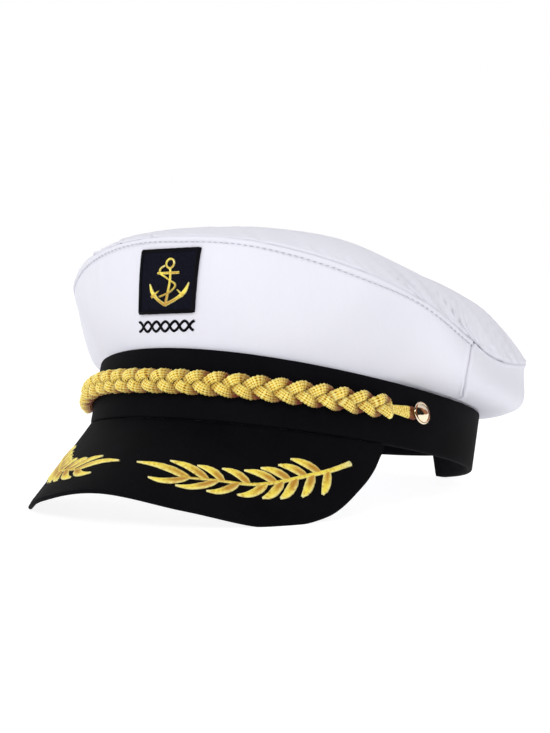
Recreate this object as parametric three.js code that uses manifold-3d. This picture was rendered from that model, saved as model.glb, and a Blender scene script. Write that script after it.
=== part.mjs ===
// A captain's hat lying on a table. It rests on both sides of its peak and on the back of its band.
// White cloth crown in three panels, black twill band and peak, plaited gold cord held by two gilt
// buttons, an anchor patch with a stitched rope line under it, and two laurel branches on the peak.
// Millimetres. The wearer's left is +X, the front faces -Y, and +Z is up. An angle round the hat is
// counted from the front towards the wearer's left. The pieces are shaped in the band's own frame,
// which has its origin at the middle of the band's lower edge, and the whole hat is then tipped to rest.
import * as THREE from "three";
import Module from "manifold-3d";

const wasm = await Module();
wasm.setup();

const { degToRad, lerp, clamp } = THREE.MathUtils;
const UP = new THREE.Vector3(0, 0, 1);

// Band
const headLength = 202.7; // outside of the band, front to back
const headWidth = 167.8; // outside of the band, side to side
const bandHeight = 28.8; // mean height
const bandEndsRise = 2.1; // how much taller it stands at the front and back, and lower at the sides
const bandLean = 2.6; // how far its upper edge sits behind its lower edge
const bandWall = 2.4;
const notchHeight = 11; // the lower edge is cut away at the back
const notchHalfAngle = 26;
const notchSlant = 3.5; // degrees over which the cut rises

// Crown
const crownWall = 1.5;
const crownTuck = 7; // depth of the crown's lower edge inside the band
const crownLift = 0.9; // clearance of the turned cloth over the band's upper edge
const crownRise = 46.8; // from the band to the rim seam, at the front
const flareFront = 4; // how far the rim stands out past the band
const flareSide = 9;
const flareBack = 18;
const rimPower = 2.45; // 2 is an ellipse, more is squarer
const domeHeight = 30; // top panel above the rim
const domePower = 3.3; // how fast the top panel flattens
const domeBack = 62; // how far behind the rim's centre the top is fullest
const domeBase = 0.75; // level that the dome rises from, as a share of crownRise
const shoulderPower = 20; // how fast the top panel's shoulder rises from the rim
const panelSeamAngle = 90; // where the front and rear side panels are sewn together
const foldDepth = 5; // the deepest fold of the cloth

// Peak
const peakReach = 57.9; // from the band to the edge, at the front
const peakHalfAngle = 63.3;
const peakWall = 2;
const peakEdge = 0.97; // where its edge starts to round, as a share of the way out

// Trim
const cordHeight = 15.6; // middle of the plait above the band's lower edge
const cordDrop = 4; // how much lower it is sewn on the wearer's right
const dropStart = 25; // degrees from the front where it starts to drop
const dropEnd = 60;
const plaitSwing = 3.3; // how far a strand wanders up and down
const plaitDepth = 1.9; // how far it moves in and out
const plaitPitch = 30; // length in which a strand comes back to its place
const strandHalfWidth = 1.65;
const strandHalfThickness = 1;
const laneStep = 2.3; // spacing of the strands where they run flat under the buttons
const laneLength = 13; // length of that flat stretch
const laneBlend = 0.7; // share of it in which the strands settle into their lanes
const laneEnd = 1; // from a strand's end to the button's shank
const buttonAngle = 72.8;
const buttonRadius = 5;
const buttonRise = 2.9; // height of the dome
const buttonRim = 1; // thickness of the rolled rim
const shankRadius = 1.6;
const patchSide = 27.5;
const patchWall = 1.2;
const patchUp = 0.6; // its middle on the way from the band to the rim
const patchAside = -2.4; // it is sewn on a little towards the wearer's right
const patchLean = 0.065; // and leans, by this share of a height on it
const stitchRise = 0.9; // thickness of the raised embroidery
const strokeSpacing = 4; // longest step along a stroke of the anchor
const ropeLength = 28;
const ropeDrop = 5.6; // its middle below the patch's lower edge
const ropeHalfHeight = 2.1;
const ropeStroke = 0.62; // half the width of its line of stitches
const ropeWaves = 3;

const gap = 0.3; // clearance between pieces that touch
const settle = 0.9; // how much the edges flatten where the hat rests

// How finely the cloth is divided
const aroundSteps = 60;
const sideSteps = 8;
const topRings = [0.07, 0.16, 0.28, 0.42, 0.6, 0.8]; // from the rim to the top's middle, as shares
const peakSteps = 30;
const peakRings = [0, 0.2, 0.4, 0.6, 0.8, peakEdge]; // from the band to the edge, as shares
const patchSteps = 6;
const stemSteps = 10;
const ringSteps = 8; // sides of the anchor's ring
const waveSteps = 8; // sections in one wave of the rope line
const strandSteps = 9; // sections in one plaitPitch
const strandSides = 6;
const buttonSides = 14;

// The crown, a row for each angle. rise is a share of crownRise, and so is shoulder, how far the top panel
// stands up just behind the rim. The other columns shape the curve from the band to the rim, as shares
// of its run outwards and of its rise.
const crownSections = [
  { angle: 0, rise: 1, lowOut: 1.15, lowUp: 0.26, highOut: 2.4, highUp: 0.57, shoulder: 0 },
  { angle: 30, rise: 0.95, lowOut: 1.05, lowUp: 0.26, highOut: 1.73, highUp: 0.62, shoulder: 0 },
  { angle: 60, rise: 0.8, lowOut: 1.22, lowUp: 0.18, highOut: 1.2, highUp: 0.64, shoulder: 0 },
  { angle: 78, rise: 0.64, lowOut: 1.32, lowUp: 0.12, highOut: 1.16, highUp: 0.61, shoulder: 0.06 },
  { angle: 90, rise: 0.49, lowOut: 1.38, lowUp: 0.09, highOut: 1.14, highUp: 0.6, shoulder: 0.15 },
  { angle: 110, rise: 0.55, lowOut: 1.4, lowUp: 0.06, highOut: 1.22, highUp: 0.57, shoulder: 0.18 },
  { angle: 125, rise: 0.62, lowOut: 1.4, lowUp: 0.02, highOut: 1.28, highUp: 0.54, shoulder: 0.1 },
  { angle: 140, rise: 0.67, lowOut: 1.3, lowUp: -0.06, highOut: 1.23, highUp: 0.51, shoulder: 0.03 },
  { angle: 160, rise: 0.75, lowOut: 1.17, lowUp: -0.09, highOut: 1.16, highUp: 0.5, shoulder: 0 },
  { angle: 180, rise: 0.78, lowOut: 1.07, lowUp: -0.09, highOut: 1.09, highUp: 0.5, shoulder: 0 },
];

// Folds of the cloth. up runs from 0 at the band to 1 at the rim and 2 at the middle of the top.
// wide is in degrees, tall in the same measure as up, and depth is a share of foldDepth.
const crownFolds = [
  { angle: 128, up: 0.82, wide: 9, tall: 0.16, depth: -0.5 },
  { angle: 140, up: 0.5, wide: 12, tall: 0.25, depth: 0.5 },
  { angle: 112, up: 0.45, wide: 7, tall: 0.3, depth: 0.3 },
  { angle: 106, up: 1.14, wide: 6, tall: 0.1, depth: -0.3 },
  { angle: 118, up: 1.12, wide: 5, tall: 0.1, depth: -0.25 },
];

// The peak, from its middle to its end. across is a share of peakHalfAngle, reach a share of peakReach,
// and droop the slope below the band's plane in degrees.
const peakSections = [
  { across: 0, reach: 1, droop: 38 },
  { across: 0.25, reach: 0.97, droop: 45 },
  { across: 0.5, reach: 0.88, droop: 56 },
  { across: 0.7, reach: 0.69, droop: 60 },
  { across: 0.85, reach: 0.41, droop: 66 },
  { across: 0.95, reach: 0.21, droop: 77 },
  { across: 1, reach: 0.06, droop: 87 },
];

// A laurel branch on the peak. across is a share of peakHalfAngle and out a share of the way from the
// band to the edge. Each leaf runs from its tip to where it joins the stem.
const laurelStem = [
  { across: 0.2, out: 0.68, half: 0.5 },
  { across: 0.32, out: 0.636, half: 0.7 },
  { across: 0.42, out: 0.61, half: 0.8 },
  { across: 0.53, out: 0.55, half: 0.9 },
  { across: 0.64, out: 0.49, half: 1 },
  { across: 0.82, out: 0.436, half: 1.3 },
];
const laurelLeaves = [
  { tipAcross: 0.043, tipOut: 0.6, rootAcross: 0.225, rootOut: 0.67 },
  { tipAcross: 0.144, tipOut: 0.522, rootAcross: 0.28, rootOut: 0.645 },
  { tipAcross: 0.236, tipOut: 0.521, rootAcross: 0.33, rootOut: 0.63 },
  { tipAcross: 0.319, tipOut: 0.505, rootAcross: 0.415, rootOut: 0.606 },
  { tipAcross: 0.394, tipOut: 0.48, rootAcross: 0.51, rootOut: 0.56 },
  { tipAcross: 0.452, tipOut: 0.43, rootAcross: 0.56, rootOut: 0.53 },
  { tipAcross: 0.517, tipOut: 0.38, rootAcross: 0.625, rootOut: 0.5 },
  { tipAcross: 0.565, tipOut: 0.31, rootAcross: 0.68, rootOut: 0.47 },
  { tipAcross: 0.111, tipOut: 0.755, rootAcross: 0.222, rootOut: 0.67 },
  { tipAcross: 0.197, tipOut: 0.779, rootAcross: 0.311, rootOut: 0.64 },
  { tipAcross: 0.289, tipOut: 0.769, rootAcross: 0.378, rootOut: 0.622 },
  { tipAcross: 0.382, tipOut: 0.74, rootAcross: 0.474, rootOut: 0.584 },
  { tipAcross: 0.464, tipOut: 0.731, rootAcross: 0.532, rootOut: 0.55 },
  { tipAcross: 0.526, tipOut: 0.726, rootAcross: 0.585, rootOut: 0.52 },
  { tipAcross: 0.603, tipOut: 0.724, rootAcross: 0.65, rootOut: 0.486 },
  { tipAcross: 0.681, tipOut: 0.741, rootAcross: 0.715, rootOut: 0.468 },
];
const leafHalfWidth = 1.7;
// The outline of a leaf, as shares of its length and of leafHalfWidth
const leafOutline = [
  { along: 0, wide: 0.08 },
  { along: 0.22, wide: 0.6 },
  { along: 0.5, wide: 1 },
  { along: 0.78, wide: 0.75 },
  { along: 1, wide: 0.25 },
];

// The anchor, in the patch's own plane, as shares of patchSide from the patch's middle. A stroke is a
// line of stitches, and half is half its width.
const anchorStrokes = {
  ring: { centre: [0.095, 0.235], radius: 0.065, half: 0.02 },
  lines: [
    [[0.1, 0.175, 0.026], [0.115, 0, 0.026], [0.06, -0.34, 0.032]],
    [[-0.106, 0.1, 0.028], [0.265, 0.1, 0.028]],
    [[-0.234, -0.05, 0.006], [-0.19, -0.17, 0.045], [-0.08, -0.28, 0.04], [0.048, -0.36, 0.042]],
    [[0.44, -0.045, 0.006], [0.38, -0.17, 0.045], [0.25, -0.27, 0.04], [0.048, -0.36, 0.042]],
    [[-0.07, -0.15, 0.006], [-0.2, -0.24, 0.03]],
    [[0.25, -0.144, 0.006], [0.36, -0.24, 0.03]],
  ],
  rope: [
    [0.02, 0.21], [-0.06, 0.165], [-0.06, 0.1], [0.03, 0.045], [0.12, -0.011], [0.205, -0.06],
    [0.21, -0.1], [0.13, -0.17], [0.03, -0.21], [-0.05, -0.236],
  ],
  ropeHalf: 0.02,
};

// The value of a table's column at x, on a smooth curve through its rows. rowKey names the first column.
// A mirrored table goes on past its ends as its own reflection.
function tableValue(rows, rowKey, column, x, mirrored) {
  const last = rows.length - 1;
  const at = clamp(x, rows[0][rowKey], rows[last][rowKey]);
  let i = 0;
  while (i < last - 1 && at > rows[i + 1][rowKey]) i += 1;
  const span = rows[i + 1][rowKey] - rows[i][rowKey];
  const slope = (k) => {
    if (k === 0) return 0;
    if (k === last) {
      return mirrored ? 0 : (rows[k][column] - rows[k - 1][column]) / (rows[k][rowKey] - rows[k - 1][rowKey]);
    }
    return (rows[k + 1][column] - rows[k - 1][column]) / (rows[k + 1][rowKey] - rows[k - 1][rowKey]);
  };
  const t = (at - rows[i][rowKey]) / span;
  const t2 = t * t;
  const t3 = t2 * t;
  return (
    (2 * t3 - 3 * t2 + 1) * rows[i][column] +
    (t3 - 2 * t2 + t) * span * slope(i) +
    (3 * t2 - 2 * t3) * rows[i + 1][column] +
    (t3 - t2) * span * slope(i + 1)
  );
}

// Degrees from the front, 0 to 180, the same on both sides
const fromFront = (angle) => Math.abs(((((angle + 180) % 360) + 360) % 360) - 180);

// A closed mesh from closed sections with equally many points. A ring joins its last section to its
// first, and an open row of sections gets a cap at each end. A single point in place of a section
// draws the faces together.
function loft(sections, ring = false) {
  const count = Math.max(...sections.map((section) => section.length));
  const positions = [];
  const starts = sections.map((section) => {
    const start = positions.length / 3;
    section.forEach((p) => positions.push(p.x, p.y, p.z));
    return start;
  });
  const index = [];
  const corner = (i, j) => starts[i] + (sections[i].length === 1 ? 0 : j % count);
  const spans = ring ? sections.length : sections.length - 1;
  for (let i = 0; i < spans; i += 1) {
    const next = (i + 1) % sections.length;
    for (let j = 0; j < count; j += 1) {
      const quad = [corner(i, j), corner(next, j), corner(next, j + 1), corner(i, j + 1)];
      if (sections[i].length > 1) index.push(quad[0], quad[1], quad[3]);
      if (sections[next].length > 1) index.push(quad[1], quad[2], quad[3]);
    }
  }
  if (!ring) {
    [0, sections.length - 1].forEach((i) => {
      for (let low = 0, high = sections[i].length - 1; high - low >= 2; ) {
        const face = [corner(i, low), corner(i, low + 1), corner(i, high)];
        index.push(...(i === 0 ? face : face.reverse()));
        low += 1;
        if (high - low < 2) break;
        const other = [corner(i, low), corner(i, high - 1), corner(i, high)];
        index.push(...(i === 0 ? other : other.reverse()));
        high -= 1;
      }
    });
  }
  return outward(meshOf(positions, index));
}

function meshOf(positions, index) {
  const geometry = new THREE.BufferGeometry();
  geometry.setAttribute("position", new THREE.Float32BufferAttribute(positions, 3));
  geometry.setIndex(index);
  return geometry;
}

// Turns the faces round where they point into the solid
function outward(geometry) {
  const p = geometry.getAttribute("position");
  const index = geometry.getIndex();
  const [a, b, c] = [new THREE.Vector3(), new THREE.Vector3(), new THREE.Vector3()];
  let volume = 0;
  for (let i = 0; i < index.count; i += 3) {
    a.fromBufferAttribute(p, index.getX(i));
    b.fromBufferAttribute(p, index.getX(i + 1));
    c.fromBufferAttribute(p, index.getX(i + 2));
    volume += a.dot(b.cross(c));
  }
  if (volume < 0) geometry.setIndex([...index.array].reverse());
  return geometry;
}

// Closed meshes joined into one
function joined(geometries) {
  const solids = geometries.map(
    (g) =>
      new wasm.Manifold(
        new wasm.Mesh({
          numProp: 3,
          vertProperties: g.getAttribute("position").array,
          triVerts: new Uint32Array(g.getIndex().array),
        }),
      ),
  );
  const mesh = solids.reduce((sum, solid) => sum.add(solid)).getMesh();
  return meshOf([...mesh.vertProperties], [...mesh.triVerts]);
}

// Band surface: a point at an angle, a height above the lower edge and a depth inside the outer face
function bandTop(angle) {
  return bandHeight + bandEndsRise * Math.cos(2 * degToRad(angle));
}
function bandOutward(angle) {
  const t = degToRad(angle);
  return new THREE.Vector3(Math.sin(t) / headWidth, -Math.cos(t) / headLength, 0).normalize();
}
function bandPoint(angle, height, inset = 0) {
  const t = degToRad(angle);
  return new THREE.Vector3(
    (headWidth / 2) * Math.sin(t),
    (-headLength / 2) * Math.cos(t) + (bandLean * height) / bandTop(angle),
    height,
  ).addScaledVector(bandOutward(angle), -inset);
}

// The lower edge of the band rises over the notch at the back
function bandBottom(angle) {
  const fromBack = 180 - fromFront(angle);
  return notchHeight * clamp((notchHalfAngle - fromBack) / notchSlant, 0, 1);
}

function makeBand() {
  const angles = [];
  for (let i = 0; i < aroundSteps; i += 1) {
    const angle = (360 * i) / aroundSteps;
    if (Math.abs(180 - fromFront(angle) - notchHalfAngle) > notchSlant + 2) angles.push(angle);
  }
  [-1, 1].forEach((side) => {
    [-1, 0, 0.6, 1.2].forEach((k) => angles.push(180 + side * (notchHalfAngle + k * notchSlant)));
  });
  angles.sort((a, b) => a - b);
  const sections = angles.map((angle) => {
    const [low, high] = [bandBottom(angle), bandTop(angle)];
    return [
      bandPoint(angle, low),
      bandPoint(angle, high),
      bandPoint(angle, high, bandWall),
      bandPoint(angle, low, bandWall),
    ];
  });
  return loft(sections, true);
}

// Rim seam of the crown, a squarish oval that dips towards the sides
const rimHalfWidth = headWidth / 2 + flareSide;
const rimHalfLength = (headLength + flareFront + flareBack) / 2;
const rimCentre = (flareBack - flareFront) / 2;
function rimPoint(angle) {
  const t = degToRad(angle);
  const bend = (v) => Math.sign(v) * Math.abs(v) ** (2 / rimPower);
  const rise = tableValue(crownSections, "angle", "rise", fromFront(angle), true);
  return new THREE.Vector3(
    rimHalfWidth * bend(Math.sin(t)),
    rimCentre - rimHalfLength * bend(Math.cos(t)),
    bandTop(angle) + crownRise * rise,
  );
}

// The top panel's middle
const crownPole = new THREE.Vector3(0, rimCentre + domeBack, bandHeight + domeBase * crownRise);

// One line of the crown's outer face, from inside the band over the rim to near the top's middle
function crownLine(angle) {
  const row = (column) => tableValue(crownSections, "angle", column, fromFront(angle), true);
  const inset = bandWall + gap;
  const high = bandTop(angle);
  const start = bandPoint(angle, high + crownLift, inset);
  const rim = rimPoint(angle);
  const run = new THREE.Vector3(rim.x - start.x, rim.y - start.y, 0);
  const rise = rim.z - start.z;
  const handle = (out, up) =>
    start.clone().addScaledVector(run, row(out)).addScaledVector(UP, rise * row(up));
  const side = new THREE.CubicBezierCurve3(start, handle("lowOut", "lowUp"), handle("highOut", "highUp"), rim);
  const line = [bandPoint(angle, high - crownTuck, inset), ...side.getPoints(sideSteps)];
  topRings.forEach((r) => {
    const dome = domeHeight * (1 - (1 - r) ** domePower);
    const shoulder = crownRise * row("shoulder") * (1 - r) * (1 - (1 - r) ** shoulderPower);
    line.push(rim.clone().lerp(crownPole, r).addScaledVector(UP, dome + shoulder));
  });
  return line;
}
const rimIndex = sideSteps + 1;

// How far the folds push the cloth out at a place on the crown
function foldAt(angle, up) {
  return crownFolds.reduce((sum, fold) => {
    const across = (fromFront(angle) - fold.angle) / fold.wide;
    const along = (up - fold.up) / fold.tall;
    return sum + foldDepth * fold.depth * Math.exp(-0.5 * (across * across + along * along));
  }, 0);
}

// The crown as a grid of outer points with a normal at each
function makeCrownGrid() {
  const angles = Array.from({ length: aroundSteps }, (_, i) => (360 * i) / aroundSteps);
  const lines = angles.map(crownLine);
  const columns = lines[0].length;
  const normalsOf = (grid) =>
    grid.map((line, i) =>
      line.map((_, j) => {
        const around = grid[(i + 1) % aroundSteps][j].clone();
        around.sub(grid[(i + aroundSteps - 1) % aroundSteps][j]);
        const along = line[Math.min(j + 1, columns - 1)].clone().sub(line[Math.max(j - 1, 0)]);
        return around.cross(along).normalize();
      }),
    );
  const smoothNormals = normalsOf(lines);
  const folded = lines.map((line, i) =>
    line.map((p, j) => {
      const up = j <= rimIndex ? (j - 1) / sideSteps : 1 + topRings[j - rimIndex - 1];
      return p.clone().addScaledVector(smoothNormals[i][j], foldAt(angles[i], up) * (j > 1 ? 1 : 0));
    }),
  );
  return { angles, lines: folded, normals: normalsOf(folded) };
}
const crown = makeCrownGrid();

// A wall's inner point. It is deeper at the turned rim, so that both panels keep their thickness.
function crownInner(i, j) {
  const depth = crownWall * (j === rimIndex ? 1.3 : 1);
  return crown.lines[i][j].clone().addScaledVector(crown.normals[i][j], -depth);
}

// A side panel between two angles, both of which are lines of the grid
function makeSidePanel(fromAngle, toAngle) {
  const step = 360 / aroundSteps;
  const first = Math.round(fromAngle / step);
  const last = Math.round(toAngle / step);
  const sections = [];
  for (let k = first; k <= last; k += 1) {
    const i = (k + aroundSteps) % aroundSteps;
    const outer = crown.lines[i].slice(0, rimIndex + 1).map((p) => p.clone());
    const inner = outer.map((_, j) => crownInner(i, j));
    const back = crown.lines[i][rimIndex - 1].clone().sub(crown.lines[i][rimIndex]).setLength(gap / 2);
    outer[rimIndex].add(back);
    inner[rimIndex].add(back);
    if (k === first || k === last) {
      const side = k === first ? 1 : -1;
      const next = crown.lines[(i + side + aroundSteps) % aroundSteps];
      outer.forEach((p, j) => {
        const shift = next[j].clone().sub(crown.lines[i][j]).setLength(gap / 2);
        p.add(shift);
        inner[j].add(shift);
      });
    }
    sections.push([...outer, ...inner.reverse()]);
  }
  return loft(sections);
}

// The top panel: rings of its outer face from the middle to the rim, then back along its inner face
function makeTopPanel() {
  const top = crown.lines[0].length - 1;
  const crest = crownPole.clone().addScaledVector(UP, domeHeight);
  const outer = [];
  const inner = [];
  for (let j = top; j >= rimIndex; j -= 1) {
    const shift = (i) =>
      j === rimIndex
        ? crown.lines[i][j + 1].clone().sub(crown.lines[i][j]).setLength(gap / 2)
        : new THREE.Vector3();
    outer.push(crown.angles.map((_, i) => crown.lines[i][j].clone().add(shift(i))));
    inner.push(crown.angles.map((_, i) => crownInner(i, j).add(shift(i))));
  }
  const under = crest.clone().addScaledVector(UP, -crownWall);
  return loft([[crest], ...outer, ...inner.reverse(), [under]]);
}

// Peak surface: across runs from -1 to 1 between its ends, out from 0 at the band to 1 at the edge, and
// lift is the height above the cloth
function peakPoint(across, out, lift = 0) {
  const angle = across * peakHalfAngle;
  const row = (column) => tableValue(peakSections, "across", column, Math.abs(across), false);
  const slope = degToRad(row("droop"));
  const reach = out * peakReach * row("reach");
  const outwards = bandOutward(angle);
  return bandPoint(angle, 0)
    .addScaledVector(outwards, reach * Math.cos(slope) + lift * Math.sin(slope))
    .addScaledVector(UP, -gap - reach * Math.sin(slope) + lift * Math.cos(slope));
}

// Sections of the peak lie closer together towards its ends, by equal turns within this angle
const peakSpread = degToRad(162);
function makePeak() {
  const sections = [];
  for (let i = 0; i <= peakSteps; i += 1) {
    const turn = (i / peakSteps - 0.5) * peakSpread;
    const across = Math.sin(turn) / Math.sin(peakSpread / 2);
    const root = bandPoint(across * peakHalfAngle, 0, bandWall).addScaledVector(UP, -gap);
    const upper = peakRings.map((out) => peakPoint(across, out));
    const edge = [0.25, 0.75].map((share) => peakPoint(across, 1, -share * peakWall));
    const lower = peakRings.map((out) => peakPoint(across, out, -peakWall)).reverse();
    sections.push([root, ...upper, ...edge, ...lower, root.clone().addScaledVector(UP, -peakWall)]);
  }
  return loft(sections);
}

// A line of satin stitch: a low ridge along a row of points on a surface. place gives the point on the
// surface from u, v and a height, and each stop holds u, v and half the width there in millimetres.
function stitched(stops, place, ring = false) {
  const sections = stops.map((stop, i) => {
    const before = stops[ring ? (i + stops.length - 1) % stops.length : Math.max(i - 1, 0)];
    const after = stops[ring ? (i + 1) % stops.length : Math.min(i + 1, stops.length - 1)];
    const here = place(stop.u, stop.v, gap);
    const crest = place(stop.u, stop.v, gap + stitchRise);
    const along = place(after.u, after.v, gap).sub(place(before.u, before.v, gap));
    const sideways = along.cross(crest.clone().sub(here)).setLength(stop.half);
    return [here.clone().add(sideways), crest, here.clone().sub(sideways)];
  });
  return loft(sections, ring);
}

// More stops between those given, so that a long stroke follows a rounded surface
function closer(stops, spacing) {
  return stops.flatMap((stop, i) => {
    if (i === stops.length - 1) return [stop];
    const next = stops[i + 1];
    const parts = Math.ceil(Math.hypot(next.u - stop.u, next.v - stop.v) / spacing);
    return Array.from({ length: parts }, (_, k) => ({
      u: lerp(stop.u, next.u, k / parts),
      v: lerp(stop.v, next.v, k / parts),
      half: lerp(stop.half, next.half, k / parts),
    }));
  });
}

function makeLaurel(side) {
  const place = (across, out, lift) => peakPoint(side * across, out, lift);
  const stem = Array.from({ length: stemSteps + 1 }, (_, i) => {
    const u = lerp(laurelStem[0].across, laurelStem.at(-1).across, i / stemSteps);
    const row = (column) => tableValue(laurelStem, "across", column, u, false);
    return { u, v: row("out"), half: row("half") };
  });
  const leaves = laurelLeaves.map((leaf) =>
    stitched(
      leafOutline.map((stop) => ({
        u: lerp(leaf.tipAcross, leaf.rootAcross, stop.along),
        v: lerp(leaf.tipOut, leaf.rootOut, stop.along),
        half: leafHalfWidth * stop.wide,
      })),
      place,
    ),
  );
  return joined([stitched(stem, place), ...leaves]);
}

// A point on the side of the crown at an angle, at a length along the cloth from the band
function crownSidePoint(angle, length) {
  const line = crownLine(angle).slice(1, rimIndex + 1);
  let left = length;
  let i = 0;
  while (i < line.length - 2 && left > line[i].distanceTo(line[i + 1])) {
    left -= line[i].distanceTo(line[i + 1]);
    i += 1;
  }
  return line[i].clone().lerp(line[i + 1], left / line[i].distanceTo(line[i + 1]));
}

// The front of the crown as a surface: u sideways and v upwards from the patch's middle, in millimetres
function crownFront(u, v, lift) {
  const middle = crownLine(0).slice(1, rimIndex + 1);
  const height = middle.slice(1).reduce((sum, p, i) => sum + p.distanceTo(middle[i]), 0);
  const length = patchUp * height + v;
  const aside = u + patchAside + patchLean * v;
  let angle = THREE.MathUtils.radToDeg(aside / rimHalfWidth);
  for (let i = 0; i < 6 && aside !== 0; i += 1) angle *= aside / crownSidePoint(angle, length).x;
  const along = crownSidePoint(angle, length + 1).sub(crownSidePoint(angle, length - 1));
  const around = crownSidePoint(angle + 1, length).sub(crownSidePoint(angle - 1, length));
  return crownSidePoint(angle, length).addScaledVector(around.cross(along).normalize(), lift);
}

function makePatch() {
  const half = patchSide / 2;
  const at = (k) => lerp(-half, half, k / patchSteps);
  const sections = [];
  for (let i = 0; i <= patchSteps; i += 1) {
    const outer = [];
    const inner = [];
    for (let j = 0; j <= patchSteps; j += 1) {
      outer.push(crownFront(at(i), at(j), 2 * gap + patchWall));
      inner.push(crownFront(at(i), at(j), 2 * gap));
    }
    sections.push([...outer, ...inner.reverse()]);
  }
  return loft(sections);
}

function makeAnchor() {
  const place = (u, v, lift) => crownFront(u, v, 2 * gap + patchWall + lift);
  const scaled = ([u, v, half]) => ({ u: u * patchSide, v: v * patchSide, half: half * patchSide });
  const { ring, lines, rope, ropeHalf } = anchorStrokes;
  const ringStops = Array.from({ length: ringSteps }, (_, i) => {
    const turn = (2 * Math.PI * i) / ringSteps;
    const u = ring.centre[0] + ring.radius * Math.cos(turn);
    return scaled([u, ring.centre[1] + ring.radius * Math.sin(turn), ring.half]);
  });
  const ropeStops = rope.map(([u, v]) => scaled([u, v, ropeHalf]));
  return joined([
    stitched(ringStops, place, true),
    ...lines.map((line) => stitched(closer(line.map(scaled), strokeSpacing), place)),
    stitched(ropeStops, place),
  ]);
}

// A line of two waves that cross like the strands of a rope, under the patch
function makeRopeLine() {
  const drop = -patchSide / 2 - ropeDrop;
  const steps = ropeWaves * waveSteps;
  const wave = (side) =>
    Array.from({ length: steps + 1 }, (_, i) => ({
      u: ropeLength * (i / steps - 0.5),
      v: drop + side * ropeHalfHeight * Math.cos((2 * Math.PI * ropeWaves * i) / steps),
      half: ropeStroke,
    }));
  return joined([stitched(wave(1), crownFront), stitched(wave(-1), crownFront)]);
}

// Height of the plait's middle on the band
function cordMiddle(angle) {
  return cordHeight - cordDrop * THREE.MathUtils.smoothstep(-angle, dropStart, dropEnd);
}

// A strand of the plaited cord. s is the distance along the band from the front. The three strands
// cross every sixth of plaitPitch, and the plait ends at such a place, where the strands lie side by side.
const cordRadius = (headWidth + headLength) / 4;
const hexagon = Math.sqrt(3) / 2; // a hexagon's half height for a radius of 1
function makeStrand(number) {
  const reach = degToRad(buttonAngle) * cordRadius - shankRadius - laneEnd;
  const crossing = plaitPitch / 6;
  const plaitEnd = Math.floor((reach - laneLength) / crossing) * crossing;
  const steps = Math.round((2 * reach * strandSteps) / plaitPitch);
  const sections = [];
  for (let i = 0; i <= steps; i += 1) {
    const s = lerp(-reach, reach, i / steps);
    const plaited = clamp(s, -plaitEnd, plaitEnd);
    const phase = (2 * Math.PI * plaited) / plaitPitch + (2 * Math.PI * number) / 3;
    const flat = clamp((Math.abs(s) - plaitEnd) / (laneBlend * laneLength), 0, 1);
    const swing = Math.sin(phase);
    const lane = Math.round(swing / hexagon) * laneStep;
    const height = lerp(plaitSwing * swing, lane, flat);
    const depth = lerp(plaitDepth * (1 + Math.sin(2 * phase)), 0, flat);
    const half = lerp(strandHalfWidth, (laneStep - gap) / 2, flat);
    const angle = THREE.MathUtils.radToDeg(s / cordRadius);
    const base = gap + strandHalfThickness;
    const centre = bandPoint(angle, cordMiddle(angle) + height, -(base + depth));
    sections.push({ centre, half, outwards: bandOutward(angle) });
  }
  return loft(
    sections.map(({ centre, half, outwards }, i) => {
      const before = sections[Math.max(i - 1, 0)].centre;
      const after = sections[Math.min(i + 1, steps)].centre;
      const sideways = after.clone().sub(before).cross(outwards).normalize();
      return Array.from({ length: strandSides }, (_, k) => {
        const turn = (2 * Math.PI * k) / strandSides;
        return centre
          .clone()
          .addScaledVector(sideways, half * Math.cos(turn))
          .addScaledVector(outwards, (strandHalfThickness * Math.sin(turn)) / hexagon);
      });
    }),
  );
}

// A gilt button: a dome with a rolled rim on a short shank, which reaches the band between the strands' ends
function makeButton() {
  const under = 2 * strandHalfThickness + 2 * gap;
  const profile = [
    [0, gap],
    [shankRadius, gap],
    [shankRadius, under],
    [buttonRadius * 0.94, under],
    [buttonRadius, under + buttonRim / 2],
    [buttonRadius * 0.97, under + buttonRim],
    [buttonRadius * 0.78, under + buttonRise * 0.66],
    [buttonRadius * 0.45, under + buttonRise * 0.92],
    [0, under + buttonRise],
  ].map(([r, z]) => new THREE.Vector2(r, z));
  return new THREE.LatheGeometry(profile, buttonSides).rotateX(Math.PI / 2);
}

// Materials
const finish = (color, roughness, metalness = 0) =>
  new THREE.MeshStandardMaterial({ color, roughness, metalness });
const whiteCloth = finish(0xe9e9f1, 0.85);
const blackTwill = finish(0x0d0d11, 0.8);
const navyCloth = finish(0x151722, 0.85);
const goldThread = finish(0xe8cf52, 0.5, 0.2);
const goldCord = finish(0xd2a63d, 0.4, 0.5);
const blackThread = finish(0x111114, 0.6);
const gilt = finish(0xd9b45a, 0.18, 1);

function piece(name, geometry, material) {
  const mesh = new THREE.Mesh(geometry, material);
  mesh.name = name;
  return mesh;
}

const hat = new THREE.Group();
const band = piece("band", makeBand(), blackTwill);
const peak = piece("peak", makePeak(), blackTwill);
hat.add(
  band,
  peak,
  piece("crown_side_front", makeSidePanel(-panelSeamAngle, panelSeamAngle), whiteCloth),
  piece("crown_side_rear", makeSidePanel(panelSeamAngle, 360 - panelSeamAngle), whiteCloth),
  piece("crown_top", makeTopPanel(), whiteCloth),
  piece("patch", makePatch(), navyCloth),
  piece("anchor", makeAnchor(), goldThread),
  piece("rope_line", makeRopeLine(), blackThread),
  piece("laurel_left", makeLaurel(1), goldThread),
  piece("laurel_right", makeLaurel(-1), goldThread),
);
[0, 1, 2].forEach((number) => {
  hat.add(piece("cord_strand_" + (number + 1), makeStrand(number), goldCord));
});
[["button_left", 1], ["button_right", -1]].forEach(([name, side]) => {
  const button = piece(name, makeButton(), gilt);
  button.position.copy(bandPoint(side * buttonAngle, cordMiddle(side * buttonAngle)));
  button.quaternion.setFromUnitVectors(UP, bandOutward(side * buttonAngle));
  hat.add(button);
});

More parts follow.
